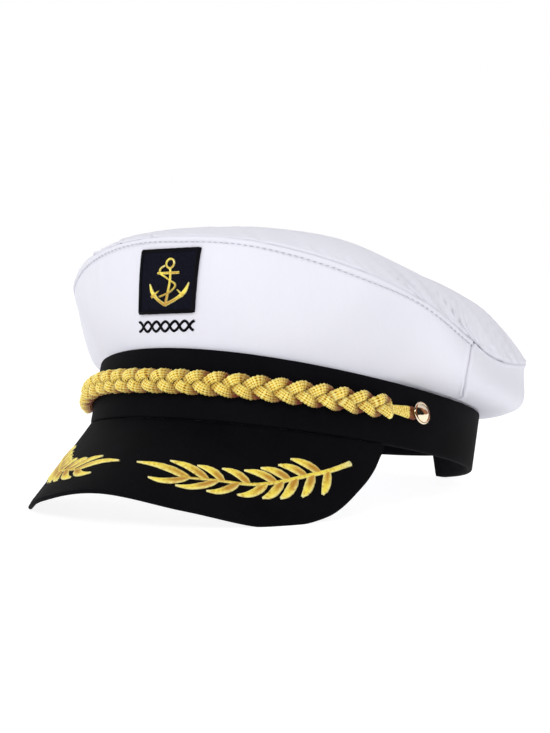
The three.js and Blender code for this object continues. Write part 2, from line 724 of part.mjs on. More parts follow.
// The tilt at which the lowest points of the peak and of the band's back share one plane
function lowest(mesh, tilt) {
  const p = mesh.geometry.getAttribute("position");
  let low = Infinity;
  for (let i = 0; i < p.count; i += 1) {
    low = Math.min(low, p.getZ(i) * Math.cos(tilt) - p.getY(i) * Math.sin(tilt));
  }
  return low;
}
function restTilt() {
  let [low, high] = [0, degToRad(40)];
  for (let i = 0; i < 40; i += 1) {
    const middle = (low + high) / 2;
    if (lowest(peak, middle) < lowest(band, middle)) low = middle;
    else high = middle;
  }
  return (low + high) / 2;
}
const tilt = restTilt();
const tableHeight = lowest(band, tilt) + settle;

// The edges that rest are pressed flat on the table, by settle at most
function press(mesh) {
  const p = mesh.geometry.getAttribute("position");
  for (let i = 0; i < p.count; i += 1) {
    const height = p.getZ(i) * Math.cos(tilt) - p.getY(i) * Math.sin(tilt) - tableHeight;
    if (height < 0) {
      p.setY(i, p.getY(i) + height * Math.sin(tilt));
      p.setZ(i, p.getZ(i) - height * Math.cos(tilt));
    }
  }
}
press(band);
press(peak);
hat.rotation.x = -tilt;

// The origin is the middle of the hat's box, on the table
hat.updateMatrixWorld(true);
const box = new THREE.Box3().setFromObject(hat, true);
hat.position.set(0, -(box.min.y + box.max.y) / 2, -tableHeight);

export default hat;
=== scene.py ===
# %% Load the frame
from functools import lru_cache
from math import copysign, cos, degrees, exp, floor, pi, radians, sin, sqrt, tau

import bmesh
import bpy
from mathutils import Matrix, Vector, noise
from mathutils.bvhtree import BVHTree


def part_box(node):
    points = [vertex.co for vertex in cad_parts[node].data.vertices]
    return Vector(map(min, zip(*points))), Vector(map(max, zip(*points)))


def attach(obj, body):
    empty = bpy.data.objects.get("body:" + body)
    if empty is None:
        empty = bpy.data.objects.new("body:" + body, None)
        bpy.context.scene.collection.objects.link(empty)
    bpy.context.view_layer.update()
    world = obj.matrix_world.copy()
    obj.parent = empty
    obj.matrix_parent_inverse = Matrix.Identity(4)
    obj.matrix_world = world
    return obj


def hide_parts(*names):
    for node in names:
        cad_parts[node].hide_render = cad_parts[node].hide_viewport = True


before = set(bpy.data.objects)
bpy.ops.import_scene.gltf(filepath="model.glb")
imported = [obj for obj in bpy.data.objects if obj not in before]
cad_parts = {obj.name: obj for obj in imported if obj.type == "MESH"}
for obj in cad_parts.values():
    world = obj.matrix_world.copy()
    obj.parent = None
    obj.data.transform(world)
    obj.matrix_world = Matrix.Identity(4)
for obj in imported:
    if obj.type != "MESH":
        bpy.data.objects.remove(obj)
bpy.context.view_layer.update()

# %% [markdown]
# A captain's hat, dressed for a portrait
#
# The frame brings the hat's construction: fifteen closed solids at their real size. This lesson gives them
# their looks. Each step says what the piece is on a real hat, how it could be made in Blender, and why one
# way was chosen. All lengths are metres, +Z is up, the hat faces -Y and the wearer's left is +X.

UP = Vector((0, 0, 1))
MM = 0.001


def clamp(value, low, high):
    return max(low, min(high, value))


def mix(a, b, share):
    return a + (b - a) * share


def smooth_step(value, low, high):
    share = clamp((value - low) / (high - low), 0, 1)
    return share * share * (3 - 2 * share)


# %% [markdown]
# The camera
#
# A product photo of a hat is taken from about a metre away with a long lens, so that nothing looks
# stretched. The camera stands 30 degrees towards the wearer's left and only a little above the table.
# It could be aimed by hand, but here its axes come from those angles, so the view can be worked out again.

# %% The camera
VIEW_TURN = radians(30.17)  # from straight ahead of the hat towards the wearer's left
VIEW_RISE = radians(3.32)
VIEW_DISTANCE = 1.00051
VIEW_ASIDE = 0.0041
VIEW_LIFT = -0.03861
FOCAL_PIXELS = 2159.9
PHOTO_HEIGHT = 733
SENSOR = 36

# The hat lies tipped front-up, on both sides of its peak and on the back of its band
TILT = radians(12.332117)
REST = Vector((0, 0.010037, 0.018555))
HAT_PLACE = Matrix.Translation(REST) @ Matrix.Rotation(-TILT, 4, "X")

view_back = Vector((sin(VIEW_TURN) * cos(VIEW_RISE), -cos(VIEW_TURN) * cos(VIEW_RISE), sin(VIEW_RISE)))
view_right = Vector((cos(VIEW_TURN), sin(VIEW_TURN), 0))
view_up = view_back.cross(view_right)
camera_data = bpy.data.cameras.new("camera")
camera_data.sensor_width = SENSOR
camera_data.lens = FOCAL_PIXELS * SENSOR / PHOTO_HEIGHT
camera = bpy.data.objects.new("camera", camera_data)
bpy.context.collection.objects.link(camera)
axes = Matrix((view_right, view_up, view_back)).transposed().to_4x4()
view_place = REST + VIEW_DISTANCE * view_back - VIEW_ASIDE * view_right - VIEW_LIFT * view_up
camera.matrix_world = Matrix.Translation(view_place) @ axes
bpy.context.scene.camera = camera
print("Lens %.1f mm, camera %.0f mm above the table" % (camera_data.lens, view_place.z / MM))

# %% [markdown]
# The band's own frame
#
# A hatter measures everything from the band, so the surfaces below are worked out in the band's frame: the
# origin is the middle of its lower edge. A last step tips each finished piece to where the hat rests.
# The sizes are the ones that the frame was built from.

# %% The band as a surface
HEAD_LENGTH = 0.2027
HEAD_WIDTH = 0.1678
BAND_HEIGHT = 0.0288
BAND_ENDS_RISE = 0.0021
BAND_LEAN = 0.0026
BAND_WALL = 0.0024
NOTCH_HEIGHT = 0.011
NOTCH_HALF_ANGLE = 26
NOTCH_SLANT = 3.5
GAP = 0.0003


def from_front(angle):
    """Degrees from the front, 0 to 180, the same on both sides."""
    return abs((angle + 180) % 360 - 180)


def band_top(angle):
    return BAND_HEIGHT + BAND_ENDS_RISE * cos(radians(2 * angle))


def band_outward(angle):
    t = radians(angle)
    return Vector((sin(t) / HEAD_WIDTH, -cos(t) / HEAD_LENGTH, 0)).normalized()


def band_point(angle, height, inset=0.0):
    t = radians(angle)
    across = HEAD_WIDTH / 2 * sin(t)
    along = -HEAD_LENGTH / 2 * cos(t) + BAND_LEAN * height / band_top(angle)
    return Vector((across, along, height)) - inset * band_outward(angle)


def band_bottom(angle):
    return NOTCH_HEIGHT * clamp((NOTCH_HALF_ANGLE - (180 - from_front(angle))) / NOTCH_SLANT, 0, 1)


CORD_HEIGHT = 0.0156
CORD_DROP = 0.004
BUTTON_ANGLE = 72.8


def cord_middle(angle):
    return CORD_HEIGHT - CORD_DROP * smooth_step(-angle, 25, 60)


button_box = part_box("button_left")
button_place = HAT_PLACE @ band_point(BUTTON_ANGLE, CORD_HEIGHT)
inside = all(low - MM < x < high + MM for low, x, high in zip(button_box[0], button_place, button_box[1]))
print("The left button's seat lies in the CAD button's box:", inside)


# %% [markdown]
# Smooth curves through a few rows
#
# The crown and the peak change shape all the way round. Instead of hundreds of points, a short table says
# what the shape is at a few places, and a smooth curve runs through its rows.

# %% Tables
def table_value(rows, key, column, x, level_end=False):
    """A column's value at x, on a smooth curve through the rows. The curve starts level."""
    last = len(rows) - 1
    x = clamp(x, rows[0][key], rows[last][key])
    i = 0
    while i < last - 1 and x > rows[i + 1][key]:
        i += 1

    def slope(k):
        if k == 0 or (k == last and level_end):
            return 0
        low, high = rows[k - 1], rows[min(k + 1, last)]
        return (high[column] - low[column]) / (high[key] - low[key])

    span = rows[i + 1][key] - rows[i][key]
    t = (x - rows[i][key]) / span
    rise = (3 - 2 * t) * t * t
    start, end = rows[i][column], rows[i + 1][column]
    bend = t * (1 - t) * (1 - t) * slope(i) - t * t * (1 - t) * slope(i + 1)
    return mix(start, end, rise) + span * bend


def named_rows(names, *rows):
    return [dict(zip(names.split(), row)) for row in rows]


# %% [markdown]
# Shared ways of making a piece
#
# Most of this hat is cloth, and cloth is a sheet. A sheet can be pulled out of a plane by hand, or laid on
# a surface by a rule. Here a bmesh grid is laid on the surface point by point, because the rule knows where
# each seam and stitch line is. A UV map in metres goes with it, so that every weave has its real size.

# %% Making and finishing a piece
def grid(bm, columns, rows):
    """The vertices of a new grid, each with its column and row."""
    verts = bmesh.ops.create_grid(bm, x_segments=columns, y_segments=rows, size=0.5)["verts"]
    return [(vert, round((vert.co.x + 0.5) * columns), round((vert.co.y + 0.5) * rows)) for vert in verts]


def sheet(bm, columns, rows, place):
    """A grid laid on a surface. place(column, row) gives the point, the weave's u and v, and a note."""
    weave = bm.loops.layers.uv.new("cloth")
    spots, notes = {}, {}
    for vert, column, row in grid(bm, columns, rows):
        vert.co, spots[vert], notes[vert] = place(column, row)
    for face in bm.faces:
        for loop in face.loops:
            loop[weave].uv = spots[loop.vert]
    bm.normal_update()
    return notes


def closed(bm, weld=0.0):
    """Merges vertices nearer than weld, closes open ends and turns every face outwards."""
    if weld:
        bmesh.ops.remove_doubles(bm, verts=bm.verts[:], dist=weld)
        bmesh.ops.holes_fill(bm, edges=bm.edges[:], sides=0)
    bmesh.ops.recalc_face_normals(bm, faces=bm.faces[:])
    return bm


def piece_from(name, bm, material, nodes=()):
    """Tips the shape to where the hat rests, and makes it a piece that may stand for CAD nodes."""
    bmesh.ops.transform(bm, matrix=HAT_PLACE, verts=bm.verts[:])
    mesh = bpy.data.meshes.new(name)
    bm.to_mesh(mesh)
    bm.free()
    mesh.materials.append(material)
    mesh.shade_smooth()
    piece = bpy.data.objects.new(name, mesh)
    bpy.context.collection.objects.link(piece)
    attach(piece, "root")
    if nodes:
        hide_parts(*nodes)
    print("%s: %d faces" % (name, len(mesh.polygons)))
    return piece


# %% [markdown]
# Shader building blocks
#
# Cloth needs three things: a weave that catches the light, slow changes of tone, and a dull or silky gloss.
# Image textures could give them, but they blur when seen close. Nodes stay sharp at any distance. The
# weave and the tone are groups, because white cloth, black twill and the navy patch all use them.

# %% Nodes in one line
def add(tree, kind, inputs=None, **settings):
    """Adds a node. An input is a value, or the output of another node."""
    node = tree.nodes.new("ShaderNode" + kind)
    for name, value in settings.items():
        setattr(node, name, value)
    for name, value in (inputs or {}).items():
        if isinstance(value, bpy.types.NodeSocket):
            tree.links.new(value, node.inputs[name])
        else:
            node.inputs[name].default_value = value
    return node


def calc(tree, operation, *values):
    return add(tree, "Math", dict(enumerate(values)), operation=operation).outputs[0]


def clamped(tree, value):
    return add(tree, "Clamp", {0: value}).outputs[0]


def remap(tree, value, low, high, first=0.0, last=1.0):
    return add(tree, "MapRange", {"Value": value, 1: low, 2: high, 3: first, 4: last}).outputs[0]


def attribute(tree, name):
    return add(tree, "Attribute", attribute_name=name).outputs["Fac"]


def speckles(tree, scale, detail=2.0):
    """Noise in the piece's own coordinates."""
    place = add(tree, "TexCoord").outputs["Object"]
    return add(tree, "TexNoise", {"Vector": place, "Scale": scale, "Detail": detail}).outputs[0]


def blend_colours(tree, share, first, second):
    node = add(tree, "Mix", data_type="RGBA")
    for socket, value in ((node.inputs[0], share), (node.inputs[6], first), (node.inputs[7], second)):
        if isinstance(value, bpy.types.NodeSocket):
            tree.links.new(value, socket)
        else:
            socket.default_value = value
    return node.outputs[2]


def new_group(name, inputs, outputs):
    group = bpy.data.node_groups.new(name, "ShaderNodeTree")
    for socket_name, kind, value in inputs:
        socket = group.interface.new_socket(socket_name, in_out="INPUT", socket_type="NodeSocket" + kind)
        if value is not None:
            socket.default_value = value
    for socket_name, kind in outputs:
        group.interface.new_socket(socket_name, in_out="OUTPUT", socket_type="NodeSocket" + kind)
    return group, group.nodes.new("NodeGroupInput"), group.nodes.new("NodeGroupOutput")


# %% The weave group
def make_weave_group():
    """Threads over and under each other. Twill 0 is a plain weave, 1 runs in slanting ribs."""
    group, given, result = new_group(
        "cloth_weave",
        [("Vector", "Vector", None), ("Pitch", "Float", 0.0005), ("Twill", "Float", 0.0)],
        [("Height", "Float")],
    )
    parts = add(group, "SeparateXYZ", {0: given.outputs["Vector"]})
    u = calc(group, "DIVIDE", parts.outputs[0], given.outputs["Pitch"])
    v = calc(group, "DIVIDE", parts.outputs[1], given.outputs["Pitch"])
    wave_u = calc(group, "SINE", calc(group, "MULTIPLY", u, pi))
    wave_v = calc(group, "SINE", calc(group, "MULTIPLY", v, pi))
    plain = calc(group, "ABSOLUTE", calc(group, "MULTIPLY", wave_u, wave_v))
    slant = calc(group, "MULTIPLY", calc(group, "ADD", u, v), pi / 2)
    rib = calc(group, "ABSOLUTE", calc(group, "SINE", slant))
    step = calc(group, "MULTIPLY", calc(group, "ABSOLUTE", wave_u), 0.35)
    twill = calc(group, "ADD", calc(group, "MULTIPLY", rib, 0.65), step)
    twill_part = calc(group, "MULTIPLY", twill, given.outputs["Twill"])
    plain_share = calc(group, "SUBTRACT", 1.0, given.outputs["Twill"])
    height = calc(group, "ADD", twill_part, calc(group, "MULTIPLY", plain, plain_share))
    group.links.new(height, result.inputs["Height"])
    return group


weave_group = make_weave_group()


# %% The tone group
def make_tone_group():
    """Slow changes of tone and small slubs, as dyed or bleached cloth has."""
    group, given, result = new_group(
        "cloth_tone",
        [("Color", "Color", (0.8, 0.8, 0.8, 1)), ("Shade", "Color", (0.5, 0.5, 0.5, 1)),
         ("Vector", "Vector", None), ("Amount", "Float", 0.3), ("Scale", "Float", 30.0)],
        [("Color", "Color")],
    )
    broad = add(group, "TexNoise", {"Vector": given.outputs["Vector"], "Scale": given.outputs["Scale"],
                                    "Detail": 3.0, "Roughness": 0.55})
    threads = add(group, "Mapping", {"Vector": given.outputs["Vector"], "Scale": (2600, 90, 90)})
    slub = add(group, "TexNoise", {"Vector": threads.outputs[0], "Scale": 1.0, "Detail": 1.0})
    both = calc(group, "ADD", calc(group, "MULTIPLY", broad.outputs[0], 0.7),
                calc(group, "MULTIPLY", slub.outputs[0], 0.3))
    centred = calc(group, "MULTIPLY", calc(group, "SUBTRACT", both, 0.5), 2.5)
    share = calc(group, "MULTIPLY", calc(group, "ADD", centred, 0.5), given.outputs["Amount"])
    colour = blend_colours(group, clamped(group, share), given.outputs["Color"], given.outputs["Shade"])
    group.links.new(colour, result.inputs["Color"])
    return group


tone_group = make_tone_group()


def new_material(name, roughness, metallic=0.0, **constants):
    material = bpy.data.materials.new(name)
    material.use_nodes = True
    shader = material.node_tree.nodes["Principled BSDF"]
    shader.inputs["Roughness"].default_value = roughness
    shader.inputs["Metallic"].default_value = metallic
    for socket, value in constants.items():
        shader.inputs[socket.replace("_", " ")].default_value = value
    return material, material.node_tree, shader


def bump(tree, shader, height, distance):
    node = add(tree, "Bump", {"Height": height, "Distance": distance, "Strength": 1.0})
    tree.links.new(node.outputs[0], shader.inputs["Normal"])


# %% Cloth materials
def make_cloth(name, colour, shade, amount, scale, pitch, twill, weave_depth, roughness, **constants):
    """Woven cloth in two tones. The crease attribute paints shade into folds and seams."""
    material, tree, shader = new_material(name, roughness, **constants)
    flat = add(tree, "UVMap", uv_map="cloth").outputs[0]
    place = add(tree, "TexCoord").outputs["Object"]
    tone = add(tree, "Group", {"Color": (*colour, 1), "Shade": (*shade, 1), "Amount": amount,
                               "Vector": place, "Scale": scale}, node_tree=tone_group)
    weave = add(tree, "Group", {"Vector": flat, "Pitch": pitch, "Twill": twill}, node_tree=weave_group)
    # dark is the painted shade colour that the crease attribute mixes in
    dark = (*(0.45 * value for value in shade), 1)
    colour = blend_colours(tree, clamped(tree, attribute(tree, "crease")), tone.outputs["Color"], dark)
    tree.links.new(colour, shader.inputs["Base Color"])
    bump(tree, shader, weave.outputs["Height"], weave_depth)
    return material


white_cloth = make_cloth(
    "white_cloth", (0.8, 0.8, 0.88), (0.7, 0.7, 0.79), 0.3, 22.0,
    pitch=0.00045, twill=0.0, weave_depth=0.00005, roughness=0.9, Sheen_Weight=0.1, Sheen_Roughness=0.5,
)
black_twill = make_cloth(
    "black_twill", (0.0042, 0.004, 0.0058), (0.0022, 0.0021, 0.003), 0.8, 60.0,
    pitch=0.0007, twill=1.0, weave_depth=0.0001, roughness=0.75, Specular_IOR_Level=0.04,
)
navy_cloth = make_cloth(
    "navy_cloth", (0.003, 0.0031, 0.0075), (0.012, 0.0125, 0.025), 0.5, 900.0,
    pitch=0.0008, twill=1.0, weave_depth=0.0001, roughness=0.8, Specular_IOR_Level=0.06,
)
# White thread, coloured grey-blue as painted shade of the stitch holes
white_thread_painted_shade = make_cloth(
    "white_thread_painted_shade", (0.52, 0.52, 0.6), (0.3, 0.3, 0.38), 0.5, 300.0,
    pitch=0.0003, twill=1.0, weave_depth=0.00003, roughness=0.6,
)
print("Cloths:", white_cloth.name, black_twill.name, navy_cloth.name)

# %% [markdown]
# The crown
#
# The crown is sewn from three panels of white cloth: a side wall in two parts and a domed top. Each is
# stitched inside out and turned, so the rim puffs up over its seam allowance and a line of topstitching
# holds it down. A simulation could drape it, but a stiffened crown keeps its cut shape, so the panels are
# laid on their pattern's surface and the puff, the tucks and the slack are worked in as relief.

# %% The crown's surface
WELD = 0.00002  # vertices nearer than this are merged
CROWN_WALL = 0.0015
CROWN_TUCK = 0.007  # cloth tucked down behind the band
CROWN_LIFT = 0.0009  # the cloth leaves the band this far above its edge
CROWN_RISE = 0.0468  # from the band to the rim at the front
RIM_POWER = 2.3
DOME_HEIGHT = 0.0225
DOME_POWER = 4.74
DOME_BACK = 0.062
DOME_BASE = 0.718
SHOULDER_POWER = 20
FOLD_DEPTH = 0.0015
RIM_HALF_WIDTH = 0.0998
RIM_HALF_LENGTH = 0.1092
RIM_CENTRE = 0.0067
CROWN_POLE = Vector((0, RIM_CENTRE + DOME_BACK, BAND_HEIGHT + DOME_BASE * CROWN_RISE))

# rise and shoulder are shares of CROWN_RISE. The others bend the wall, as shares of its run and its height
CROWN_SECTIONS = named_rows(
    "angle rise low_out low_up high_out high_up shoulder",
    (0, 1.023, 0.54, 0.444, 1.61, 0.869, 0),
    (30, 0.942, 0.54, 0.431, 1.13, 0.852, 0.054),
    (60, 0.74, 0.4, 0.427, 1.27, 0.881, 0.07),
    (78, 0.53, 1.39, 0.047, 1.15, 0.676, 0.214),
    (90, 0.425, 1.45, 0.023, 0.94, 0.616, 0.277),
    (110, 0.513, 1.51, -0.033, 0.76, 0.535, 0.079),
    (125, 0.606, 1.34, -0.022, 0.88, 0.524, 0.006),
    (140, 0.67, 1.19, -0.15, 0.95, 0.491, -0.04),
    (160, 0.758, 1.075, -0.171, 0.95, 0.482, 0),
    (180, 0.78, 1.07, -0.09, 1.09, 0.5, 0),
)
# up runs from 0 at the band to 1 at the rim and 2 at the middle of the top
CROWN_FOLDS = named_rows(
    "angle up wide tall depth",
    (128, 0.82, 9, 0.16, -0.5),
    (140, 0.5, 12, 0.25, 0.5),
    (112, 0.45, 7, 0.3, 0.3),
    (106, 1.14, 6, 0.1, -0.3),
    (118, 1.12, 5, 0.1, -0.25),
)


@lru_cache(maxsize=4000)
def crown_line(angle):
    """The curve of the side wall at an angle, from the band to the rim, and the top's shoulder there."""
    low_out, low_up, high_out, high_up, rise, shoulder = (
        table_value(CROWN_SECTIONS, "angle", column, from_front(angle), level_end=True)
        for column in ("low_out", "low_up", "high_out", "high_up", "rise", "shoulder")
    )
    t = radians(angle)
    start = band_point(angle, band_top(angle) + CROWN_LIFT, BAND_WALL + GAP)
    rim = Vector((
        RIM_HALF_WIDTH * copysign(abs(sin(t)) ** (2 / RIM_POWER), sin(t)),
        RIM_CENTRE - RIM_HALF_LENGTH * copysign(abs(cos(t)) ** (2 / RIM_POWER), cos(t)),
        band_top(angle) + CROWN_RISE * rise,
    ))
    run = Vector((rim.x - start.x, rim.y - start.y, 0))
    up = rim.z - start.z
    low = start + low_out * run + low_up * up * UP
    high = start + high_out * run + high_up * up * UP
    return start, low, high, rim, shoulder * CROWN_RISE


def side_point(angle, up):
    """A point on the side wall: up is 1 at the rim, 0 at the band and -1 at the edge tucked into it."""
    start, low, high, rim, _ = crown_line(angle)
    if up < 0:
        return start.lerp(band_point(angle, band_top(angle) - CROWN_TUCK, BAND_WALL + GAP), -up)
    a, b, c = start.lerp(low, up), low.lerp(high, up), high.lerp(rim, up)
    return a.lerp(b, up).lerp(b.lerp(c, up), up)


def top_point(angle, share):
    """A point on the top panel: share is 0 at the rim and 1 at the middle."""
    rim, shoulder = crown_line(angle)[3:]
    rest = 1 - share
    level = CROWN_POLE.z + rest * (1 - share ** 6) * (rim.z - CROWN_POLE.z)
    dome = DOME_HEIGHT * (1 - rest ** DOME_POWER)
    lift = shoulder * rest * (1 - share ** 6) * (1 - rest ** SHOULDER_POWER)
    return Vector((rim.x * rest, mix(rim.y, CROWN_POLE.y, share), level + dome + lift))


def fold_at(angle, up):
    """The height of the broad folds."""
    total = 0
    for fold in CROWN_FOLDS:
        across = (from_front(angle) - fold["angle"]) / fold["wide"]
        along = (up - fold["up"]) / fold["tall"]
        total += FOLD_DEPTH * fold["depth"] * exp(-0.5 * (across * across + along * along))
    return total


print("Rim at the front %.1f mm above the band" % ((side_point(0, 1).z - band_top(0)) / MM))

# %% [markdown]
# Relief of sewn cloth
#
# What makes sewn cloth look sewn is small: a puffed hem between the rim and its stitches, a crease right at
# the seam, and short tucks where the rounder top was eased into the rim. They are pushed in and out along
# the cloth's own normals, in real geometry, because light rakes over the rim. Their creases also get painted
# shade.

# %% Relief near the seams
HEM_WIDTH = 0.0028  # from the rim to the topstitches
HEM_PUFF = 0.0006
CREASE_DEPTH = 0.0006
CREASE_WIDTH = 0.00045
STITCH_PITCH = 0.0028
SEAM_STEP = 0.00035  # rows of the grid near a seam
SEAM_ROWS = 16
# The front and rear side panels meet on a line that is straight on the cloth, so it turns with its bulge
SIDE_SEAM = named_rows(
    "up angle",
    (0, 90),
    (0.1, 87.5),
    (0.2, 82.8),
    (0.35, 79.3),
    (0.5, 78),
    (0.65, 78),
    (0.8, 78.7),
    (1, 80.5),
)
DEGREE = 0.0017  # length of one degree round the rim


def seam_angle(up):
    return table_value(SIDE_SEAM, "up", "angle", up)


def bell(distance, width):
    """1 in the middle, fading to 0 on both sides."""
    return exp(-((distance / width) ** 2))


def rim_shade(angle):
    """How much shade is painted into the crease under the rim, most where the cloth folds over it at the
    sides.
    """
    return 0.22 + 0.5 * bell(from_front(angle) - 80, 12)


def hem_relief(distance, puff, width):
    """The height of a puffed hem at a distance from its seam."""
    crease = -CREASE_DEPTH * bell(distance, CREASE_WIDTH)
    if distance < width:
        return crease + puff * sqrt(max(sin(pi * distance / width), 0))
    return crease


# foot is where a tuck starts at the rim, lean how many degrees it turns to the front for each metre
TOP_TUCKS = named_rows(
    "foot lean length depth",
    (61, 900, 0.01, 0.0009),
    (63.5, 900, 0.007, 0.0005),
    (72, 900, 0.009, 0.0003),
    (79.5, 800, 0.014, 0.0013),
    (82, 800, 0.008, 0.0006),
    (-8, 500, 0.01, 0.0006),
    (-20, 500, 0.012, 0.0009),
    (-33, 500, 0.014, 0.0008),
    (-50, 500, 0.01, 0.0008),
    (-78, 600, 0.011, 0.0006),
    (104, 300, 0.012, 0.0004),
    (118, 300, 0.014, 0.0005),
    (150, 300, 0.012, 0.0004),
    (196, 300, 0.012, 0.0005),
    (235, 300, 0.012, 0.0005),
)
TUCK_WIDTH = 0.0009


def tuck_relief(angle, distance):
    """The height of the tucks, and how much shade is painted into their creases."""
    height, shade = 0, 0
    for tuck in TOP_TUCKS:
        if distance < tuck["length"] * 1.4:
            middle = tuck["foot"] - tuck["lean"] * distance
            across = ((angle - middle + 180) % 360 - 180) * DEGREE
            fade = 1 - smooth_step(distance, tuck["length"] * 0.3, tuck["length"] * 1.4)
            ridge = 0.6 * bell(across - 2.2 * TUCK_WIDTH, 1.4 * TUCK_WIDTH)
            height += tuck["depth"] * fade * (ridge - bell(across, TUCK_WIDTH))
            # painted shade along the bottom of each tuck
            shade += tuck["depth"] / 0.002 * fade * bell(across, 0.6 * TUCK_WIDTH)
    return height, shade


def slack(point, size, depth):
    """Soft waves of slack cloth."""
    return depth * noise.noise(point / size)


def crinkle(angle, distance, pitch, reach):
    """Fine creases that start at a seam, lean to the front and fade over a reach, from -1 to 1."""
    across = angle * DEGREE + 0.9 * distance
    fade = 1 - smooth_step(distance, 0.2 * reach, reach)
    return fade * noise.noise(Vector((across / pitch, distance / (6 * pitch), pitch * 900)))


# %% Side panels
FRONT_COLUMNS = 400
REAR_COLUMNS = 300
REAR_PUFF = 0.0003  # the rear hem isn't topstitched, so it is narrow and low
REAR_HEM = 0.0016
SIDE_ROWS = 40
TUCK_ROWS = 2
PANEL_ROWS = TUCK_ROWS + SIDE_ROWS + SEAM_ROWS
END_PACKING = 0.6  # columns lie closer together towards the panel's ends


def side_up(angle, row):
    """Where a row of the side panel lies on its line. Rows lie closer together under the rim."""
    high, rim = crown_line(angle)[2:4]
    reach = SEAM_ROWS * SEAM_STEP / (3 * (rim - high).length)
    if row <= TUCK_ROWS:
        return row / TUCK_ROWS - 1
    if row <= TUCK_ROWS + SIDE_ROWS:
        return (1 - reach) * (row - TUCK_ROWS) / SIDE_ROWS
    return 1 - reach * (PANEL_ROWS - row) / SEAM_ROWS


def side_panel(rear, columns, puff, width):
    """A side panel, from the seam at one side to the seam at the other."""
    bm = bmesh.new()
    # the crease layer holds how much shade is painted into the cloth's colour
    crease = bm.verts.layers.float.new("crease")

    def place(column, row):
        share = column / columns
        share -= END_PACKING * sin(tau * share) / tau
        edge = seam_angle(side_up(90, row))
        first, last = (edge, 360 - edge) if rear else (-edge, edge)
        angle = mix(first, last, share)
        up = side_up(angle, row)
        to_side = min(share, 1 - share) * (last - first) * DEGREE
        return side_point(angle, up), (angle * DEGREE, up * 0.05), (angle, up, to_side)

    for vert, (angle, up, to_side) in sheet(bm, columns, PANEL_ROWS, place).items():
        if up <= 0:
            continue
        line = crown_line(angle)
        from_rim = (1 - up) * 3 * (line[3] - line[2]).length
        pucker = cos(tau * angle * DEGREE / STITCH_PITCH)
        # Slack cloth first, then the hem, the stitch line and the side seam with a ridge beside it
        height = fold_at(angle, up) + slack(vert.co, 0.045, 0.0008) * smooth_step(up, 0, 0.3)
        height += slack(vert.co, 0.018, 0.0003) + 0.00018 * crinkle(angle, from_rim, 0.006, 0.02)
        height += hem_relief(from_rim, puff, width)
        # painted shade in the crease under the rim
        shade = rim_shade(angle) * bell(from_rim, CREASE_WIDTH)
        if not rear:
            height -= (0.0003 + 0.0002 * pucker) * bell(from_rim - width, 0.0005)
            # painted shade of the stitch holes along the stitch line
            shade += (0.16 + 0.12 * pucker) * bell(from_rim - width, 0.0004)
        height += 0.0003 * bell(to_side - 0.0016, 0.001) - 0.0005 * bell(to_side, 0.0005)
        # painted shade in the side seam's groove
        vert[crease] = shade + 0.3 * bell(to_side, 0.0006) * smooth_step(up, 0.05, 0.2)
        vert.co += vert.normal * height
    return bm


front_bm = side_panel(False, FRONT_COLUMNS, HEM_PUFF, HEM_WIDTH)
front_skin = BVHTree.FromBMesh(front_bm)
bmesh.ops.solidify(front_bm, geom=front_bm.faces[:], thickness=CROWN_WALL)
piece_from("crown_side_front_cloth", front_bm, white_cloth, ["crown_side_front"])

rear_bm = side_panel(True, REAR_COLUMNS, REAR_PUFF, REAR_HEM)
bmesh.ops.solidify(rear_bm, geom=rear_bm.faces[:], thickness=CROWN_WALL)
piece_from("crown_side_rear_cloth", rear_bm, white_cloth, ["crown_side_rear"])

# %% Top panel
TOP_COLUMNS = 720
TOP_ROWS = 34


def top_share(angle, row):
    """Where a row of the top panel lies. Rows lie closer together near the rim."""
    reach = SEAM_ROWS * SEAM_STEP / ((top_point(angle, 0.002) - top_point(angle, 0)).length / 0.002)
    if row <= SEAM_ROWS:
        return reach * row / SEAM_ROWS
    return mix(reach, 1, ((row - SEAM_ROWS) / TOP_ROWS) ** 1.25)


def top_panel():
    bm = bmesh.new()
    # the crease layer holds how much shade is painted into the cloth's colour
    crease = bm.verts.layers.float.new("crease")

    def place(column, row):
        angle = 360 * column / TOP_COLUMNS % 360
        share = top_share(angle, row)
        point = top_point(angle, share)
        return point, (point.x, point.y), (angle, share)

    for vert, (angle, share) in sheet(bm, TOP_COLUMNS, SEAM_ROWS + TOP_ROWS, place).items():
        from_rim = (vert.co - crown_line(angle)[3]).length
        tucks, shade = tuck_relief(angle, from_rim)
        height = fold_at(angle, 1 + share) + tucks
        height += slack(vert.co, 0.05, 0.0012) * smooth_step(from_rim, 0.004, 0.03)
        height += slack(vert.co, 0.02, 0.0005) * smooth_step(from_rim, 0.002, 0.015)
        aside = bell(from_front(angle) - 85, 40)  # the top creases most at the sides
        calm = 1 - smooth_step(share, 0.25, 0.65)  # the middle of the top lies smooth
        broad = calm * crinkle(angle, from_rim, 0.0055, 0.045)
        fine = calm * crinkle(angle, from_rim, 0.0024, 0.035)
        height += (0.0005 + 0.0007 * aside) * broad + (0.00015 + 0.0005 * aside) * fine
        height += hem_relief(from_rim, 0.0003, 0.003)
        # painted shade in the hollows of the creases at the sides
        shade += 0.35 * aside * max(-broad - 0.1, 0) + 0.3 * aside * max(-fine - 0.1, 0)
        # painted shade of the tucks and of the crease under the rim
        vert[crease] = shade + rim_shade(angle) * bell(from_rim, CREASE_WIDTH)
        vert.co += vert.normal * height
    bmesh.ops.remove_doubles(bm, verts=bm.verts[:], dist=WELD)
    bm.normal_update()
    return bm


top_bm = top_panel()
bmesh.ops.solidify(top_bm, geom=top_bm.faces[:], thickness=CROWN_WALL)
piece_from("crown_top_cloth", top_bm, white_cloth, ["crown_top"])

# %% [markdown]
# Topstitching
#
# A sewing machine leaves a row of short threads, each pulled down at both ends. Every stitch is a small
# stretched sphere laid on the hem, and all of them are one piece. The white thread is coloured grey-blue as
# painted shade of its stitch holes.

# %% Topstitches
STITCH_LENGTH = 0.0021
THREAD_RADIUS = 0.00019
WALK_STEP = 0.05  # degrees


